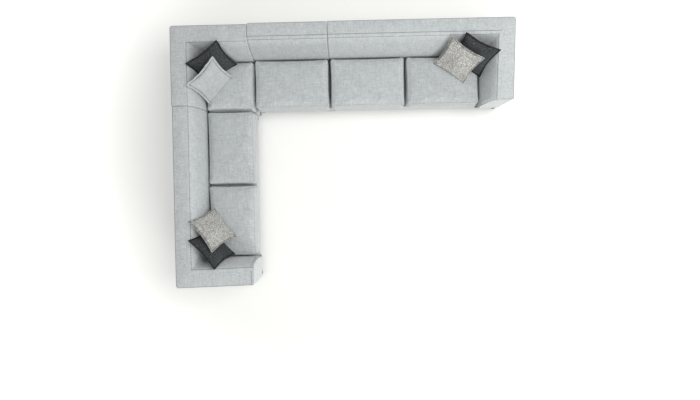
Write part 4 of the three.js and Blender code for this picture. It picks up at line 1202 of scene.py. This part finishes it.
def leg(node_name):
    low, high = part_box(node_name)
    centre = (low + high) / 2
    half = 19.0
    x, y = centre.x * 1000, centre.y * 1000
    parts = [soft_box((x - half, y - half, 3.0), (x + half, y + half, 89.7), 2.6, 20),
             soft_box((x - half + 5, y - half + 5, 0.0), (x + half - 5, y + half - 5, 3.2), 1.2, 20)]
    ring = np.array([(math.cos(t), math.sin(t)) for t in np.linspace(0, 2 * math.pi, 17)[:-1]])
    stud = np.array([[(x + r * c, y + r * s, z) for c, s in ring] for r, z in
                     ((4, 88.0), (4, 118.0), (3, 119.5), (1.5, 119.6))]).reshape(-1, 3)
    ends = [tuple(range(16))[::-1], tuple(range(48, 64))]
    parts.append((stud, grid_faces(4, 16, 0, close=True) + ends, stud))
    points, faces, weave = joined(parts)
    made = make_object(node_name + "_block", points * 0.001, faces, weave * 0.001, None, leg_wood)
    welded(made)
    return finish_piece(made, "sofa_frame", "legs", node_name)


def straps(name):
    """Crossing straps that pass over and under each other."""
    module = MODULES[name]
    low, high = base_plan(name, 36.3)
    behind = 30.3 + 32 + 20 + 0.6
    if module["end"] == "left":
        low[0] = behind
    if module["end"] == "right":
        high[0] = module["width"] - behind
    high[1] = -behind
    top = DECK - 18.3
    counts = [round((high[a] - low[a]) / 260) for a in (0, 1)]
    pitch = [(high[a] - low[a]) / counts[a] for a in (0, 1)]
    parts = []
    for axis in (0, 1):
        other = 1 - axis
        for i in range(counts[axis]):
            middle = low[axis] + (i + 0.5) * pitch[axis]
            run = np.arange(low[other], high[other] + 1, (high[other] - low[other]) / max(
                8, round((high[other] - low[other]) / 16)))
            phase = (run - low[other]) / pitch[other] - 0.5
            height = 0.7 * np.cos(math.pi * (phase + i)) * (1 if axis == 0 else -1)
            rows = []
            for across, up in ((-25, 0.35), (-24.2, 0.62), (24.2, 0.62), (25, 0.35), (25, -0.35), (24.2, -0.62),
                               (-24.2, -0.62), (-25, -0.35)):
                line = np.zeros((len(run), 3))
                line[:, axis] = middle + across
                line[:, other] = run
                line[:, 2] = top - 1.5 + height + up
                rows.append(line)
            points = np.array(rows).transpose(1, 0, 2).reshape(-1, 3)
            u = np.repeat(run, 8)
            v = np.tile([-25, -24.2, 24.2, 25, 25, 24.2, -24.2, -25], len(run))
            faces = grid_faces(len(run), 8, 0, close=True)
            faces += [tuple(range(8)), tuple(range(len(points) - 8, len(points)))[::-1]]
            parts.append((points, faces, np.stack([u, v, np.zeros(len(u))], -1)))
    points, faces, weave = joined(parts)
    made = make_object(name + "_straps", to_row(name, points), faces, weave * 0.001, None, strap_cloth)
    welded(made)
    return finish_piece(made, "sofa_frame", "webbing", name + "_seat_webbing")


def dust_sheet(name):
    """A thin cloth stretched under the frame, slack by a few millimetres between the rails."""
    low, high = base_plan(name, 26)
    width, depth = high[0] - low[0], high[1] - low[1]
    nx, ny = int(width / 30), int(depth / 30)
    gx, gy = np.meshgrid(np.linspace(low[0], high[0], nx), np.linspace(low[1], high[1], ny), indexing="ij")
    sx, sy = (gx - low[0]) / width, (gy - low[1]) / depth
    sag = 2.2 * (np.sin(math.pi * sx) * np.sin(math.pi * sy)) ** 0.5
    points = np.stack([gx.ravel(), gy.ravel(), 91.6 - sag.ravel()], -1)
    weave = np.stack([gx.ravel(), gy.ravel(), np.zeros(gx.size)], -1)
    made = make_object(name + "_dust_cloth", to_row(name, points), grid_faces(nx, ny, flip=True), weave * 0.001,
                       np.full(gx.size, 1.0), dust_cloth)
    finish_piece(made, "sofa_frame", "dust_cover", name + "_dust_cover")
    return made


for module_name, module in MODULES.items():
    base_cover(module_name)
    straps(module_name)
    dust_sheet(module_name)
    for place in ("rear_left", "rear_right", "front_left", "front_right"):
        leg(module_name + "_leg_" + place)


def dress(node_name, material):
    shown = frame["nodes"][node_name]
    shown.data.materials.clear() if not shown.material_slots else None
    if shown.material_slots:
        for entry in shown.material_slots:
            entry.material = material
    else:
        shown.data.materials.append(material)


for node_name in frame["nodes"]:
    if node_name.endswith("_base_frame"):
        dress(node_name, timber)
    elif node_name.endswith(("_board", "_boards")):
        dress(node_name, plywood)
    elif node_name.startswith("link_"):
        dress(node_name, steel)
